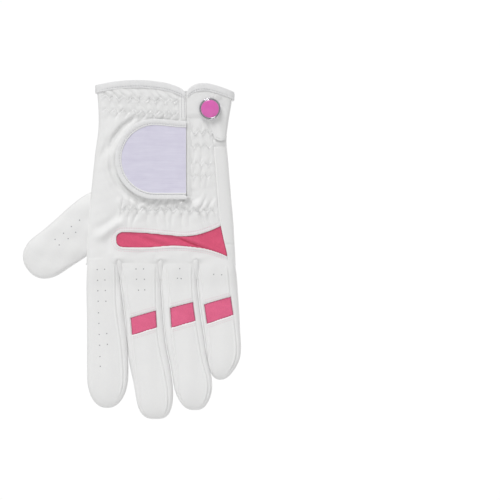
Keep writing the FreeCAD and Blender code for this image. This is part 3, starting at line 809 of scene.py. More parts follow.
def bend_with(piece, stall, length):
    """Bake a piece's placement into its mesh; the bend of the length it lies on is read but not set up."""
    _, _, _, upper, lower, start, end = length
    left, right = stall.edges(np.array([start]))
    middle = float(left[0] + right[0]) / 2 * MM
    start * MM
    end * MM
    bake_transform(piece)


CAD_LENGTHS = {"root": "proximal", "middle": "middle", "tip": "distal"}


def stall_skins(stall):
    for length in lengths(stall):
        part, high, low = length[:3]
        rows = int((high - low) / 0.6)
        piece = skin(f"{stall.name}_{part}_skin", 140, rows, stall_shape(stall, high, low),
                     white_leather, closed=True, thick=STALL_THICK)
        bend_with(piece, stall, length)
        nodes = [f"{stall.name}_{CAD_LENGTHS[part]}_{side}" for side in ("back", "front")]
        if part != "tip":
            nodes.append(f"{stall.name}_{CAD_LENGTHS[part]}_fourchettes")
        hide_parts(*nodes)


for stall in STALLS:
    stall_skins(stall)


WEB_TOP = -108.0
WEB_LONG = 14.0
WEB_SIDES = 2.2
# each crotch's fold: how far beside the valley it lies, its half width and its height
WEB_LUMPS = {"index": (1.0, 2.9, 4.2), "middle": (0.2, 3.0, 4.4), "ring": (-0.3, 3.5, 4.5)}


def web_shape(left_stall, right_stall):
    """The rounded fold of a strip at the crotch between two stalls, running down into the valley."""
    beside, wide, high = WEB_LUMPS[left_stall.name]

    def shape(share, drop):
        up = WEB_TOP - WEB_LONG * drop
        valley = (left_stall.edges(up)[1] + right_stall.edges(up)[0]) / 2
        top_round = rounded(drop / 0.3)
        side = 2 * share - 1
        across = valley + beside + wide * (1 - 0.6 * drop) * side * (0.25 + 0.75 * top_round)
        arch = np.sqrt(np.clip(1 - side ** 2, 0, 1)) * (0.7 + 0.3 * top_round)
        return across, -(WEB_SIDES + high * (1 - 0.93 * drop ** 1.3) * arch), up
    return shape


for left_stall, right_stall in zip(STALLS, STALLS[1:]):
    web = skin(f"{left_stall.name}_{right_stall.name}_web", 22, 36,
               web_shape(left_stall, right_stall), white_leather, thick=STALL_THICK)
    belongs(web, "hand", "white_leather")

# ---------------------------------------------------------------- thumb stall
# A tube of leather set into the side of the palm. It leaves from behind the hand's edge and
# slopes down; it is made in two lengths, split between its root and its knuckle.

THUMB_ROOT = np.array((-46.2, -85.5))
THUMB_TILT = np.radians(53.9)
THUMB_ALONG = np.array((-np.sin(THUMB_TILT), -np.cos(THUMB_TILT)))
THUMB_ACROSS = np.array((np.cos(THUMB_TILT), -np.sin(THUMB_TILT)))
THUMB_MIDDLE = 2.0
THUMB_LOWER = [(-24, 13.0), (-8, 15.6), (2, 16.6), (14, 16.4), (26, 15.8), (36, 15.4), (52, 14.6)]
THUMB_UPPER = [(-24, -13.0), (-8, -16.5), (2, -16.4), (14, -15.2), (26, -14.2), (36, -14.0), (52, -13.6)]
THUMB_END = 49.8
THUMB_SHOULDER = 33.0
THUMB_ASPECT = 2.7


def thumb_edges(along):
    upper = through(THUMB_UPPER, along)
    lower = through(THUMB_LOWER, along)
    past = np.clip((along - THUMB_SHOULDER) / (THUMB_END - THUMB_SHOULDER), 0, 1)
    share = (1 - past ** 2.3) ** (1 / 2.3)
    middle = (upper + lower) / 2
    return middle + (upper - middle) * share, middle + (lower - middle) * share


def thumb_half(along):
    past = np.clip((along - THUMB_SHOULDER + 3) / (THUMB_END - THUMB_SHOULDER + 3), 0, 1)
    return (4.6 - 1.4 * ease((-along - 2) / 14)) * (1 - past ** 2.4) ** 0.5


def thumb_point(along, beside, out):
    """A point from its distance along the thumb, beside its middle line and out from its plane."""
    across = THUMB_ROOT[0] + along * THUMB_ALONG[0] + beside * THUMB_ACROSS[0]
    up = THUMB_ROOT[1] + along * THUMB_ALONG[1] + beside * THUMB_ACROSS[1]
    return across, THUMB_MIDDLE - out, up


def thumb_rise(along, beside):
    upper, lower = thumb_edges(along)
    side = (2 * beside - upper - lower) / np.maximum(lower - upper, 1e-6)
    detail = 0.18 * np.sin(0.28 * along + 0.35 * beside) + 0.1 * np.sin(0.6 * beside - 0.2 * along)
    edge = ease((1 - np.abs(side)) / 0.16)
    return thumb_half(along) * dome(side, STALL_ROUND) + detail * edge * ease((44 - along) / 8)


def thumb_shape(start, end):
    def shape(share, drop):
        run = drop if end < THUMB_END else np.sin(drop * np.pi / 2)
        along = start + (end - start) * run
        side, out = oval(share, STALL_ROUND, THUMB_ASPECT)
        upper, lower = thumb_edges(along)
        beside = (upper + lower) / 2 + side * (lower - upper) / 2
        return thumb_point(along, beside, np.sign(out) * np.maximum(thumb_rise(along, beside), 0))
    return shape


def thumb_bend(piece, upper, lower, start, end):
    for along in (start, end):
        across, _, up = thumb_point(along, 0, 0)
        across * MM
        up * MM
    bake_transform(piece)


THUMB_START = -20
THUMB_SPLIT = 14.5
ROOT_BEND = (-3, 9)
TIP_BEND = (18, 30)
thumb_root = skin("thumb_root_skin", 150, 58, thumb_shape(THUMB_START, THUMB_SPLIT), white_leather,
                  closed=True, thick=STALL_THICK)
thumb_bend(thumb_root, "hand", "thumb_proximal", *ROOT_BEND)
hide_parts("thumb_proximal_back", "thumb_proximal_front")
thumb_end = skin("thumb_tip_skin", 150, 64, thumb_shape(THUMB_SPLIT, THUMB_END), white_leather,
                 closed=True, thick=STALL_THICK)
thumb_bend(thumb_end, "thumb_proximal", "thumb_distal", *TIP_BEND)
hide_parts("thumb_distal_back", "thumb_distal_front")

# ---------------------------------------------------------------- stretch inserts
# Pink stretch knit, let in over the knuckles and over each of three finger joints, a little
# below the leather, whose folded edge stands round it.

KNIT_THICK = 0.35


def knit(name, colour, shade, hem_painted_shade):
    """Two crossed sets of ribs, speckled, with a painted shade along the edges where the leather's fold would
    shade it.
    """
    finish = Finish(name, Roughness=0.8, Sheen_Weight=0.25, Sheen_Roughness=0.4)
    finish.shader.inputs["Specular IOR Level"].default_value = 0.2
    heather = finish.noise(0.9, 3.0)
    drift = finish.noise(7, 2.0)
    face = finish.blend(heather * 0.6 + drift * 0.4, shade, colour)
    # painted shade: the face turns deep red towards the piece's edges, by the rim attribute
    rim = finish.node("ShaderNodeAttribute", {"attribute_name": "rim"}, {}, "Fac")
    finish.feed("Base Color", finish.blend(rim * 0.7, face, hem_painted_shade))
    settings = {"wave_type": "BANDS", "bands_direction": "DIAGONAL"}
    loops = []
    for turn in (0, np.pi / 2):
        where = finish.place(turn=(0, turn, 0))
        inputs = {"Vector": where, "Scale": 0.55, "Distortion": 0.6, "Detail": 1.0}
        loops.append(finish.node("ShaderNodeTexWave", settings, inputs, "Fac"))
    finish.relief(loops[0] * 0.5 + loops[1] * 0.5 + heather * 0.6, 0.22)
    return finish.material


# the third colour of each knit is the painted shade at its edges
knuckle_knit = knit("knuckle_knit", paint(248, 108, 144), paint(212, 78, 112), paint(120, 34, 58))
finger_knit = knit("finger_knit", paint(255, 126, 165), paint(216, 90, 128), paint(128, 40, 70))


def mark_rim(piece, reach):
    """Note on each vertex how near it lies to the edge, for the painted shade where the leather's fold would
    shade the knit.
    """
    work = bmesh.new()
    work.from_mesh(piece.data)
    points = np.array([vert.co[:] for vert in work.verts]) / MM
    edge = np.array([vert.co[:] for vert in work.verts if vert.is_boundary]) / MM
    work.free()
    gap = np.min(np.linalg.norm(points[:, None] - edge[None], axis=2), axis=1)
    rim = piece.data.attributes.new("rim", "FLOAT", "POINT")
    rim.data.foreach_set("value", 1 - ease(gap / reach))


def insert_shape(share, drop):
    """The insert from its round end to the side seam, with the pleat that twists across it."""
    run = share + 0.12 * np.sin(np.pi * share) * (share - 1)
    across = INSERT_END + (40.0 - INSERT_END) * run
    for _ in range(3):
        top, bottom = insert_edges(across)
        up = top + 0.3 + (bottom - top - 0.6) * drop
        across = INSERT_END + (through(SIDE_SEAM, up) - INSERT_END) * run
    slant = (up + 95.6) * 0.93 + (across - 14) * 0.37
    pleat = (1.0 * hump(slant - 1.6, 1.3) - 1.2 * hump(slant + 0.1, 0.7)) * ease((across - 6) / 9)
    pleat = pleat + 0.6 * hump(slant + 3.2, 1.2) * ease((across - 16) / 9)
    ruck = 0.6 * np.sin(0.9 * up + 0.32 * across) * hump(across + 2, 16)
    plain = hand_plain(across, up) + ripple(across, up) - INSERT_DEEP
    return across, -(plain + (pleat + ruck) * np.sin(np.pi * np.clip(drop, 0, 1)) ** 0.5), up


insert = skin("knuckle_insert_knit", 200, 40, insert_shape, knuckle_knit, thick=KNIT_THICK)
mark_rim(insert, 0.9)
belongs(insert, "hand", "knuckle_knit", "knuckle_insert")


def stretch_panel(stall):
    def shape(share, drop):
        up = np.full_like(share, stall.middle_knuckle + 6)
        for _ in range(3):
            left, right = stall.seam_lines(up)
            across = left + 0.25 + (right - left - 0.5) * share
            top, bottom = panel_edges(stall, across, up)
            up = top + (bottom - top) * drop
        wrinkle = 0.12 * np.sin(1.1 * up + 0.4 * across) * np.sin(np.pi * drop)
        return across, -(stall.rise(across, up) - INSERT_DEEP + wrinkle), up

    piece = skin(f"{stall.name}_stretch_knit", 44, 30, shape, finger_knit, thick=KNIT_THICK)
    mark_rim(piece, 0.8)
    bend_with(piece, stall, list(lengths(stall))[1])
    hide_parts(f"{stall.name}_stretch_panel")


for stall in STALLS:
    if stall.panel:
        stretch_panel(stall)

# ---------------------------------------------------------------- cuff binding
# A strip of thin leather folded over the raw edge of the cuff, all the way round from one side
# of the slit to the other, and stitched through near its lower edge.

cuff_tape = leather("cuff_tape", paint(236, 236, 236), paint(230, 230, 231), 0.6)
FLAP_LIFT = 0.9
BAND_LONG = 230


def flap_share(across, up):
    """1 where the flap lies over the back, 0 elsewhere."""
    return ease((across - 17.2) / 0.6) * ease((hand_side(across, up) + 0.2) / 0.1)


def rim_point(turn):
    """A point of the cuff's edge: across, out, up and the outward direction there."""
    up = 0.0 * turn
    for _ in range(3):
        side, out = oval(turn, HAND_ROUND, HAND_ASPECT)
        across = hand_across(side, up)
        share = ease(out * 1.6 + 0.5)
        up = cuff_line(across) * share + cuff_line(across, back=False) * (1 - share)
    stand = out * HAND_HALF
    stand = np.where(out > 0, stand + FLAP_LIFT * flap_share(across, up), stand)
    return across, stand, up


SLIT_TURN_LEFT = float(hand_turn(np.array(SLIT[0] - 0.2), np.array(0.0)))
SLIT_TURN_RIGHT = float(hand_turn(np.array(SLIT[1] + 0.3), np.array(0.0)))


def band_shape(share, drop):
    """A folded band: share runs round its section, drop runs along the cuff from the slit."""
    turn = SLIT_TURN_LEFT - drop * (1 - (SLIT_TURN_RIGHT - SLIT_TURN_LEFT))
    turn = turn % 1.0
    across, stand, up = rim_point(turn)
    ahead_across, ahead_stand, _ = rim_point((turn + 0.002) % 1.0)
    run_across = ahead_across - across
    run_stand = ahead_stand - stand
    long = np.hypot(run_across, run_stand)
    angle = 2 * np.pi * share
    proud = squared(np.cos(angle), 0.35)
    high = squared(np.sin(angle), 0.5)
    ripple_out = 0.12 * np.sin(across * 0.8) + 0.08 * np.sin(across * 2.1 + 1)
    seam = -0.28 * hump(high + 0.55, 0.10)
    out = -0.35 + (1.05 + seam + ripple_out * 0.5) * proud
    from_end = np.minimum(drop, 1 - drop) * BAND_LONG
    shrink = rounded(from_end / 0.8)
    up = up - BINDING_HIGH / 2 + (BINDING_HIGH / 2) * high * shrink
    return across - run_stand / long * out * shrink, -(stand + run_across / long * out * shrink), up


binding = skin("cuff_edge_binding", 36, 560, band_shape, cuff_tape, closed=True, thick=0)
belongs(binding, "hand", "cuff_tape", "cuff_binding")

# ---------------------------------------------------------------- cuff flap
# A second thickness of leather on the little-finger side of the slit. It carries the marker's
# seat; its hem is loose at the outer corner and its inner part is sewn down under the gathers.

FLAP_HEM = [(17.9, -19.5), (29, -20.5), (33.5, -25.0), (35.2, -29.5), (37, -30.9), (42.4, -30.6),
            (44, -29.0)]


def flap_lift(across, up):
    """How far the flap stands off the back: sewn down on its left, loose on its right."""
    free = ease((across - 31) / 5)
    bottom = through(FLAP_HEM, across)
    above = ease((up - bottom) / 6.0)
    sewn = FLAP_LIFT * (1.5 * above - 0.5)
    loose = FLAP_LIFT + 0.7 * (1 - ease((up - bottom) / 9.0)) + 0.4 * hump(across - 39 + 0.2 * (up + 25), 1.8)
    return sewn * (1 - free) + loose * free


def under_flap(across, up):
    """The back as the flap shows it: its gathers, softened."""
    return hand_rise(across, up) * 0.6 + hand_plain(across, up) * 0.4


def flap_shape(share, drop):
    up = 0.0 * share
    for _ in range(3):
        right = through(RIGHT_EDGE, up)
        left = SLIT[1] + 0.25
        across = left + (right - 1.1 - left) * share
        top = cuff_line(across) - 1.5
        up = top + (through(FLAP_HEM, across) - top) * drop
    soft = 0.25 * np.sin(0.55 * across + 0.2 * up) * np.sin(0.3 * up) * hump(across - 40, 6)
    dent = -0.5 * hump(across - 40.5 + 0.3 * (up + 10), 1.5) * ease((up + 16) / 6) * ease((-2 - up) / 4)
    return across, -(under_flap(across, up) + flap_lift(across, up) + soft + dent), up


flap = skin("cuff_flap_skin", 84, 84, flap_shape, white_leather)
belongs(flap, "hand", "white_leather", "cuff_flap")

# ---------------------------------------------------------------- closing tab
# A D-shaped tab, hinged by a narrow leather strip beside the slit. Leather below, a woven
# lilac face above, and a folded leather binding round the three free sides.

TAB_RIGHT = 17.2
TAB_MIDDLE = -43.5
TAB_RADIUS = 26.3
TAB_CENTRE = -3.0
TAB_HEART = 6
TAB_EDGE = 4.3
# how far each layer stands out from the hand's middle plane
TAB_HOOK_OUT = 8.1
TAB_LEATHER_OUT = 8.75
TAB_FACE_OUT = 9.05
# how far each patch keeps in from the outline and from its straight side
HOOK_INSETS = (8, 6)
LOOP_INSETS = (7, 4)
TAPE_THICK = 0.6


def tab_outline(share, inset, right_inset=0.0):
    """The D outline, from its top right corner over the round end and back, closed on the right."""
    radius = TAB_RADIUS - inset
    right = TAB_RIGHT - right_inset
    straight = right - TAB_CENTRE
    lengths_round = np.array([straight, np.pi * radius, straight, 2 * radius])
    ends = np.concatenate([[0], np.cumsum(lengths_round)])
    walk = share * ends[-1]
    first = walk / straight
    second = (walk - ends[1]) / radius
    third = (walk - ends[2]) / straight
    fourth = walk - ends[3]
    across = np.where(walk < ends[1], right - straight * first, TAB_CENTRE - radius * np.sin(second))
    across = np.where(walk > ends[2], TAB_CENTRE + straight * third, across)
    across = np.where(walk > ends[3], right, across)
    up = np.where(walk < ends[1], radius, radius * np.cos(second))
    up = np.where(walk > ends[2], -radius, up)
    up = np.where(walk > ends[3], -radius + fourth, up)
    slope = -1.7 * ease((across + 6) / 24) * np.clip(up / radius, 0, 1)
    return across, TAB_MIDDLE + up + slope


def inside_tab(share, drop, inset, right_inset):
    """A place on the D, from its rim in to a point near its middle."""
    rim_across, rim_up = tab_outline(1 - share, inset, right_inset)
    across = TAB_HEART + (rim_across - TAB_HEART) * (1 - drop)
    return across, TAB_MIDDLE + (rim_up - TAB_MIDDLE) * (1 - drop)


def plate_shape(inset, right_inset, stand):
    """A D-shaped sheet, from its rim (drop 0) to its middle (drop 1)."""
    def shape(share, drop):
        across, up = inside_tab(share, drop, inset, right_inset)
        soft = 0.12 * np.sin(0.21 * across + 0.1 * up) * np.sin(0.17 * up + 1.0) * drop ** 0.5
        return across, -(stand + soft), up
    return shape


def woven(name, colour, shade, lines):
    """Plain weave: fine threads across, finer ones up, and a faint uneven stripe."""
    finish = Finish(name, Roughness=0.75, Sheen_Weight=0.2)
    finish.shader.inputs["Specular IOR Level"].default_value = 0.25
    stripe = finish.noise(0.7, 3.0, stretch=(0.03, 1, 1))
    drift = finish.noise(9, 2.0)
    patches = finish.noise(3.0, 3.0, stretch=(0.25, 1, 1))
    mottle = stripe * 0.45 + patches * 0.8 + drift * 0.3 - 0.25
    finish.feed("Base Color", finish.blend(mottle, shade, colour))
    threads = {}
    for run, uneven in (("Z", 0.5), ("X", 0.4)):
        settings = {"wave_type": "BANDS", "bands_direction": run}
        inputs = {"Vector": finish.place(), "Scale": lines, "Distortion": uneven}
        threads[run] = finish.node("ShaderNodeTexWave", settings, inputs, "Fac")
    finish.relief(threads["Z"] * 0.6 + threads["X"] * 0.4, 0.08)
    return finish.material


woven_face = woven("woven_face", paint(232, 230, 244), paint(208, 204, 224), 0.42)
hook_tape = woven("hook_tape", paint(236, 236, 238), paint(218, 218, 222), 0.30)

tab_leather = skin("tab_leather_sheet", 220, 22, plate_shape(0.5, 0.0, TAB_LEATHER_OUT), white_leather,
                   closed=True)
belongs(tab_leather, "tab", "white_leather", "tab_leather")
tab_face = skin("tab_face_sheet", 220, 22, plate_shape(TAB_EDGE - 0.6, 0.35, TAB_FACE_OUT), woven_face,
                closed=True, thick=0.35)
belongs(tab_face, "tab", "woven_face", "tab_face_panel")
tab_hook = skin("tab_hook_sheet", 160, 14, plate_shape(*HOOK_INSETS, TAB_HOOK_OUT), hook_tape,
                closed=True, thick=TAPE_THICK)
belongs(tab_hook, "tab", "hook_and_loop", "tab_hook_patch")


def tab_binding_shape(share, drop):
    """A folded band: share runs round its section, drop along the tab's three free sides."""
    whole = 2 * (TAB_RIGHT - TAB_CENTRE) + np.pi * (TAB_RADIUS - TAB_EDGE / 2)
    closed = whole + 2 * (TAB_RADIUS - TAB_EDGE / 2)
    walk = drop * whole / closed
    across, up = tab_outline(walk, TAB_EDGE / 2)
    ahead_across, ahead_up = tab_outline(walk + 0.0005, TAB_EDGE / 2)
    long = np.hypot(ahead_across - across, ahead_up - up) + 1e-9
    side_across = -(ahead_up - up) / long
    side_up = (ahead_across - across) / long
    angle = 2 * np.pi * share
    wide = squared(np.cos(angle), 0.55)
    high = squared(np.sin(angle), 0.6)
    pucker = 0.05 * np.sin(walk * 420) + 0.04 * np.sin(walk * 187 + 1)
    groove = -0.6 * hump(wide - 0.45, 0.13) * np.where(high > 0, 1, 0)
    out = TAB_LEATHER_OUT + (0.95 + groove + pucker) * high
    reach = (TAB_EDGE / 2 + 0.2 * pucker) * wide
    return across + side_across * reach, -out, up + side_up * reach


tab_binding = skin("tab_edge_binding", 40, 420, tab_binding_shape, cuff_tape, closed=True, thick=0)
belongs(tab_binding, "tab", "cuff_tape", "tab_binding")


HINGE_TOP = -19.0
HINGE_BOTTOM = -69.5
HINGE_MIDDLE = 18.75
HINGE_HALF = 1.5


def anchor_shape(share, drop):
    """The hinge strip: a soft fold of leather that the tab turns on, from the tab to the gusset."""
    up = HINGE_TOP + (HINGE_BOTTOM - HINGE_TOP) * drop
    angle = 2 * np.pi * share
    wide = squared(np.cos(angle), 0.25)
    high = squared(np.sin(angle), 0.35)
    round_end = np.sqrt(np.clip(1 - (2 * drop - 1) ** 24, 0, 1))
    across = HINGE_MIDDLE + HINGE_HALF * wide * round_end
    stand = hand_rise(across, up) * 0.3 + hand_plain(across, up) * 0.7
    thick = 0.7 * ease((20.3 - across) / 2.4)
    return across, -(stand + thick + (0.15 + thick) * high * round_end), up


anchor = skin("tab_hinge_strip", 24, 120, anchor_shape, white_leather, closed=True, thick=0)
belongs(anchor, "hand", "white_leather", "tab_anchor")


def loop_shape(share, drop):
    """The loop patch, a little smaller than the tab that closes over it."""
    across, up = inside_tab(share, drop, *LOOP_INSETS)
    return across, -(np.maximum(hand_rise(across, up), HAND_HALF - 0.2) + 0.55), up


loop_tape = woven("loop_tape", paint(240, 240, 241), paint(226, 226, 229), 0.25)
loop = skin("loop_patch_sheet", 160, 22, loop_shape, loop_tape, closed=True, thick=TAPE_THICK)
belongs(loop, "hand", "hook_and_loop", "loop_patch")

# ---------------------------------------------------------------- ball marker and its seat
# A chromed cup riveted through the flap holds a magnet; the steel marker, chromed at its rim and
# filled with pink enamel that stands up as a shallow dome, drops into it.

MARKER_ACROSS = 32.5
MARKER_UP = -10.9
# each profile's points: radius, and how far out from the hand's middle plane
SEAT_PROFILE = [(0, 7.3), (6.4, 7.3), (6.95, 7.4), (7.2, 7.8), (7.2, 8.9), (7.05, 9.3),
                (6.8, 9.42), (6.5, 9.3), (6.35, 8.9), (6.35, 8.0), (0, 7.95)]
COIN_PROFILE = [(0, 8.65), (5.95, 8.65), (6.15, 8.8), (6.22, 9.3), (6.2, 9.6), (6.1, 9.74),
                (5.95, 9.76), (5.84, 9.66), (5.82, 9.45), (0, 9.45)]
ENAMEL_PROFILE = [(0, 10.42), (1.5, 10.38), (3.0, 10.24), (4.3, 10.03), (5.2, 9.82),
                  (5.6, 9.68), (5.8, 9.52), (5.8, 9.4), (0, 9.4)]


def plain_metal(name, colour, roughness):
    finish = Finish(name, Metallic=1.0, Roughness=roughness)
    wear = finish.noise(1.6, 3.0)
    finish.feed("Roughness", wear * 0.12 + (roughness - 0.06))
    finish.shader.inputs["Base Color"].default_value = colour
    return finish.material


def enamel(name, colour, shade):
    finish = Finish(name, Roughness=0.24, Coat_Weight=0.8, Coat_Roughness=0.05)
    drift = finish.noise(3.0, 2.0)
    finish.feed("Base Color", finish.blend(drift, shade, colour))
    return finish.material


chrome = plain_metal("chrome_metal", paint(205, 203, 208), 0.16)
steel = plain_metal("plain_steel", paint(150, 150, 156), 0.3)
pink_enamel = enamel("pink_enamel", paint(230, 104, 190), paint(214, 88, 172))


def turned(name, profile, finish):
    """A round piece turned from (radius, stand-off) points about the marker's axis."""
    work = bmesh.new()
    verts = [work.verts.new(((MARKER_ACROSS + radius) * MM, -out * MM, MARKER_UP * MM))
             for radius, out in profile]
    edges = [work.edges.new(pair) for pair in zip(verts, verts[1:])]
    centre = Vector((MARKER_ACROSS * MM, 0, MARKER_UP * MM))
    bmesh.ops.spin(work, geom=verts + edges, cent=centre, axis=(0, 1, 0), angle=2 * np.pi,
                   steps=96, use_merge=True)
    bmesh.ops.remove_doubles(work, verts=work.verts, dist=1e-7)
    bmesh.ops.recalc_face_normals(work, faces=work.faces)
    return finish_piece(name, work, finish)


seat = turned("marker_seat_cup", SEAT_PROFILE, chrome)
belongs(seat, "hand", "chrome_metal", "marker_seat")
coin = turned("ball_marker_coin", COIN_PROFILE, chrome)
belongs(coin, "marker", "chrome_metal", "ball_marker")
dome_face = turned("marker_enamel_dome", ENAMEL_PROFILE, pink_enamel)
belongs(dome_face, "marker", "pink_enamel", "marker_enamel")
for node in ("seat_magnet", "seat_rivet"):
    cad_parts[node].data.materials.clear()
    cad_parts[node].data.materials.append(steel)

# ---------------------------------------------------------------- elastic bands
# Flat woven elastic, stretched and zigzag-stitched to the inside of the back under each group of
# gathers: at the cuff, down the gusset and across the wrist.

elastic = woven("elastic", paint(232, 232, 234), paint(214, 214, 218), 0.5)


def elastic_band(name, left, right, low, high, *nodes):
    """Flat elastic that follows the inside of the gathered back."""
    def shape(share, drop):
        across = left + (right - left) * share
        up = high + (low - high) * drop
        return across, -(hand_rise(across, up) - 0.85), up

    band = skin(name, int(right - left), int(high - low), shape, elastic, thick=0.5)
    belongs(band, "hand", "elastic", *nodes)


elastic_band("cuff_elastic_band", -31, 13, -19, -5, "cuff_elastics")
elastic_band("gusset_elastic_band", 19.5, 33, -58, -25)
elastic_band("wrist_elastic_band", -32, 35, -81, -71, "wrist_elastic")

# ---------------------------------------------------------------- stitching
# White and faintly pink thread, one short bar a stitch: along the insert and the panels, the slit,
# the side strip, the hems and the bindings; at the slit, the cuff binding and the tab the white thread is
# painted grey, a painted shade.

thread_white = leather("thread_white", paint(246, 246, 246), paint(236, 236, 236), 0.7)
# white thread painted grey: a painted shade for the groove it lies in, so these stitches show as dark dashes
thread_sunk = leather("thread_sunk", paint(200, 200, 203), paint(184, 184, 188), 0.7)
thread_pink = leather("thread_pink", paint(243, 218, 226), paint(236, 205, 215), 0.7)
# how far the thread stands out from the leather under it
THREAD_PROUD = 0.06
BINDING_THREAD_PROUD = 0.62
FLAP_THREAD_PROUD = 0.08
ZIGZAG_PROUD = 0.02
TAB_THREAD_OUT = 9.36


def seam(name, lines, surface, finish, pitch=1.55, length=0.95, thick=0.2):
    """Rows of stitches along a few lines; each stitch is a small bar lying on the surface."""
    work = bmesh.new()
    for line in lines:
        points = np.array(line, dtype=float)
        steps = np.hypot(*np.diff(points, axis=0).T)
        walk = np.concatenate([[0], np.cumsum(steps)])
        middle = np.arange(pitch / 2, walk[-1], pitch)
        ends = []
        for offset in (-length / 2, length / 2):
            across = np.interp(middle + offset, walk, points[:, 0])
            up = np.interp(middle + offset, walk, points[:, 1])
            ends.append(np.stack([across, -surface(across, up), up], axis=1))
        for start, stop in zip(*ends):
            place_bar(work, start, stop, thick)
    return finish_piece(name, work, finish)


def place_bar(work, start, stop, thick):
    run = Vector(stop - start)
    turn = run.to_track_quat("Z", "Y").to_matrix().to_4x4()
    size = Matrix.Diagonal((thick * MM, thick * 0.8 * MM, (run.length / 2 + thick * 0.4) * MM, 1))
    place = Matrix.Translation(Vector((start + stop) / 2) * MM) @ turn @ size
    bmesh.ops.create_uvsphere(work, u_segments=6, v_segments=4, radius=1, matrix=place)


def along(points, start, stop, offset, count=160):
    """A line that follows an outline across the hand, shifted up or down."""
    across = np.linspace(start, stop, count)
    return np.stack([across, through(points, across) + offset], axis=1)


def straight(x0, z0, x1, z1, count=24):
    share = np.linspace(0, 1, count)
    return np.stack([x0 + (x1 - x0) * share, z0 + (z1 - z0) * share], axis=1)


def on_back(across, up):
    return hand_rise(across, up) + THREAD_PROUD


def round_the_end(grow, count=40):
    """Round the rounded left end of the knuckle insert."""
    angle = np.linspace(np.pi / 2, 3 * np.pi / 2, count)
    radius = INSERT_END_ROUND + grow
    across = INSERT_END + INSERT_END_ROUND + radius * np.cos(angle)
    return np.stack([across, INSERT_END_UP + radius * np.sin(angle)], axis=1)


insert_rows = []
for grow in (1.5, 2.9):
    insert_rows.append(along(INSERT_TOP, -23.9, 38, grow))
    insert_rows.append(along(INSERT_BOTTOM, -23.9, 42, -grow))
    insert_rows.append(round_the_end(grow))
insert_seam = seam("insert_stitches", insert_rows, on_back, thread_pink)
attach(insert_seam, "hand")


def on_palm(across, up):
    return -palm_rise(across, up) - THREAD_PROUD


def heel_row(share, count=240):
    angle = np.linspace(0, 2 * np.pi, count)
    middle_across, middle_up, wide, high = HEEL_PATCH
    up = middle_up + share * high * squared(np.sin(angle), 2 / HEEL_ROUND)
    across = middle_across + share * wide * squared(np.cos(angle), 2 / HEEL_ROUND)
    return np.stack([across + HEEL_LEAN * (up - middle_up), up], axis=1)


def thumb_seam_row(offset, count=160):
    middle_across, middle_up, radius = THUMB_SEAM
    angle = np.linspace(-0.80, 0.82, count)
    return np.stack([middle_across + (radius + offset) * np.cos(angle),
                     middle_up + (radius + offset) * np.sin(angle)], axis=1)


palm_seam = seam("palm_stitches", [heel_row(0.93), thumb_seam_row(-1.4)], on_palm, thread_white)
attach(palm_seam, "hand")

hand_rows = [straight(15.9, 0.5, 15.9, -17), straight(13.9, 0.3, 13.9, -17), straight(18.8, 0.5, 18.8, -3)]
hand_seam = seam("slit_stitches", hand_rows, on_back, thread_sunk)
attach(hand_seam, "hand")


def on_binding(across, up):
    return hand_plain(across, up) + FLAP_LIFT * flap_share(across, up) + BINDING_THREAD_PROUD


def binding_row(start, stop, count=120):
    across = np.linspace(start, stop, count)
    return np.stack([across, cuff_line(across) - BINDING_HIGH + 1.35], axis=1)


binding_rows = [binding_row(-40.0, 16.3), binding_row(17.6, 47.0)]
binding_seam = seam("cuff_binding_stitches", binding_rows, on_binding, thread_sunk,
                    pitch=1.7, length=1.1, thick=0.17)
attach(binding_seam, "hand")


def side_offset(offset, low, high, count=120):
    up = np.linspace(high, low, count)
    return np.stack([through(SIDE_SEAM, up) + offset, up], axis=1)


def on_side(across, up):
    strip = hand_plain(across, up)
    return np.where(across > through(SIDE_SEAM, up), strip, hand_rise(across, up)) + THREAD_PROUD


side_rows = [side_offset(-1.3, -98, -33), side_offset(1.2, -110, -34)]
side_rows += [straight(36.3, z, 43.0, z) for z in (-32.3, -34.0)]
side_seam = seam("side_stitches", side_rows, on_side, thread_white)
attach(side_seam, "hand")


def on_flap(across, up):
    return under_flap(across, up) + flap_lift(across, up) + FLAP_THREAD_PROUD


flap_rows = [along(FLAP_HEM, 34.5, 43.0, 1.4, 40)]
flap_seam = seam("flap_stitches", flap_rows, on_flap, thread_white)
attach(flap_seam, "hand")


def tab_row(inset, right_inset):
    share = np.linspace(0.002, 0.70, 400)
    across, up = tab_outline(share, inset, right_inset)
    keep = across < TAB_RIGHT - 0.6
    return np.stack([across[keep], up[keep]], axis=1)


def on_tab(across, up):
    return TAB_THREAD_OUT + 0 * across


tab_seam = seam("tab_stitches", [tab_row(3.15, 0)], on_tab, thread_sunk, pitch=1.7, length=1.1, thick=0.19)
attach(tab_seam, "tab")


def zigzag_rows():
    rows = []
    for row in GATHER_ROWS:
        pitch = row[4]
        first = np.ceil((row[2] + 3) / (pitch / 2))
        last = np.floor((row[3] - 2) / (pitch / 2))
        across = np.arange(first, last + 1) * pitch / 2
        up = row_height(row, across) + ZIGZAG_HIGH * zigzag_at(row, across + 1e-6)
        rows.append(np.stack([across, up], axis=1))
    return rows


def on_gathers(across, up):
    return hand_rise(across, up) + ZIGZAG_PROUD


zigzags = seam("gather_zigzag_threads", zigzag_rows(), on_gathers, thread_white,
               pitch=1.0, length=0.9, thick=0.12)
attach(zigzags, "hand")


def panel_rows(stall):
    """Two rows above and two below a stretch panel."""
    rows = []
    for which in (0, 1):
        for away in (1.2, 2.5):
            up = np.full(30, stall.middle_knuckle + 6.0)
            share = np.linspace(0.04, 0.96, 30)
            for _ in range(3):
                left, right = stall.seam_lines(up)
                across = left + (right - left) * share
                up = panel_edges(stall, across, up)[which] + (away if which == 0 else -away)
            rows.append(np.stack([across, up], axis=1))
    return rows


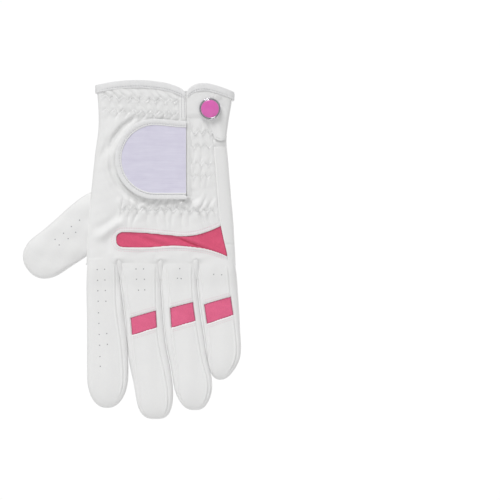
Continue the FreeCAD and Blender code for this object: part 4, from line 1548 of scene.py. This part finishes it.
def panel_stitches(stall):
    def on_stall(across, up):
        return stall_rise(stall, across, up) + THREAD_PROUD

    rows = seam(f"{stall.name}_panel_stitches", panel_rows(stall), on_stall, thread_pink,
                pitch=1.3, length=0.75, thick=0.16)
    bend_with(rows, stall, list(lengths(stall))[1])


for stall in STALLS:
    if stall.panel:
        panel_stitches(stall)

# ---------------------------------------------------------------- punched holes
# Rows of fine breathing holes, punched through the backs and the palm sides of the stalls and
# through the thumb; here each hole is a flat grey disc on the surface, a painted shadow for its inside.

# painted shadow: the grey of a hole's dark inside, given to flat discs on the surface
hole_painted_shadow = leather("hole_shadow", paint(172, 172, 174), paint(158, 158, 161), 0.9)
HOLES = {
    "index": [(-40.8, -115.4), (-40.6, -122.4), (-40.4, -129.2), (-40.2, -136), (-40, -143.5),
              (-39.7, -150.4), (-39.5, -157.6), (-39.2, -164.6), (-39, -172), (-38.8, -178.3),
              (-36, -115.2), (-35.8, -122.2), (-35.5, -129), (-35.2, -136), (-34.6, -157), (-34.2, -164)],
    "middle": [(-15.6, -115), (-10.7, -115), (-15.3, -121.7), (-10.1, -121.7), (-14, -128.8), (-9.9, -128.6)],
    "ring": [(12.8, -114.8), (11.3, -121.1), (13.7, -121.3)],
    "little": [(34.9, -118.5), (40.1, -118.8)],
}
THUMB_HOLES = [(-68.2, -95.8), (-65.5, -99.4), (-62.7, -91.8), (-59.7, -95.3), (-57.6, -87.4),
               (-54.8, -91.2), (-52.3, -83.3)]
HOLE_PROUD = 0.02


def holes(name, points, surface, radius=0.42):
    work = bmesh.new()
    for across, up in points:
        out = float(surface(np.array([across]), np.array([up]))[0])
        place = Matrix.Translation((across * MM, -out * MM, up * MM))
        flat = Matrix.Diagonal((radius * MM, 0.08 * MM, radius * MM, 1))
        bmesh.ops.create_uvsphere(work, u_segments=8, v_segments=4, radius=1, matrix=place @ flat)
    return finish_piece(name, work, hole_painted_shadow)


def punch_stall(stall, name, points, surface):
    """Punch a stall's holes, one piece for each of its lengths that has any."""
    for length in lengths(stall):
        part, high, low = length[:3]
        inside = [point for point in points if low < point[1] <= high]
        if inside:
            dots = holes(f"{stall.name}_{part}_{name}", inside, surface)
            bend_with(dots, stall, length)


def palm_holes(stall):
    """Two rows of holes along the palm face of each stall."""
    points = []
    for up in np.arange(-118.0, stall.shoulder + 4, -7.0):
        left, right = stall.edges(np.array([up]))
        middle = float(left[0] + right[0]) / 2
        points += [(middle - 2.6, up), (middle + 2.6, up + 3.5)]
    return points


for stall in STALLS:
    punch_stall(stall, "holes", HOLES[stall.name],
                lambda across, up: stall_rise(stall, across, up) + HOLE_PROUD)
for stall in STALLS:
    punch_stall(stall, "palm_holes", palm_holes(stall),
                lambda across, up: -stall.rise(across, up) - HOLE_PROUD)


def on_thumb(across, up):
    flat = np.stack([across - THUMB_ROOT[0], up - THUMB_ROOT[1]])
    distance = flat[0] * THUMB_ALONG[0] + flat[1] * THUMB_ALONG[1]
    beside = flat[0] * THUMB_ACROSS[0] + flat[1] * THUMB_ACROSS[1]
    return thumb_rise(distance, beside) - THUMB_MIDDLE + HOLE_PROUD


thumb_dots = holes("thumb_holes", THUMB_HOLES, on_thumb)
thumb_bend(thumb_dots, "hand", "thumb_proximal", *ROOT_BEND)
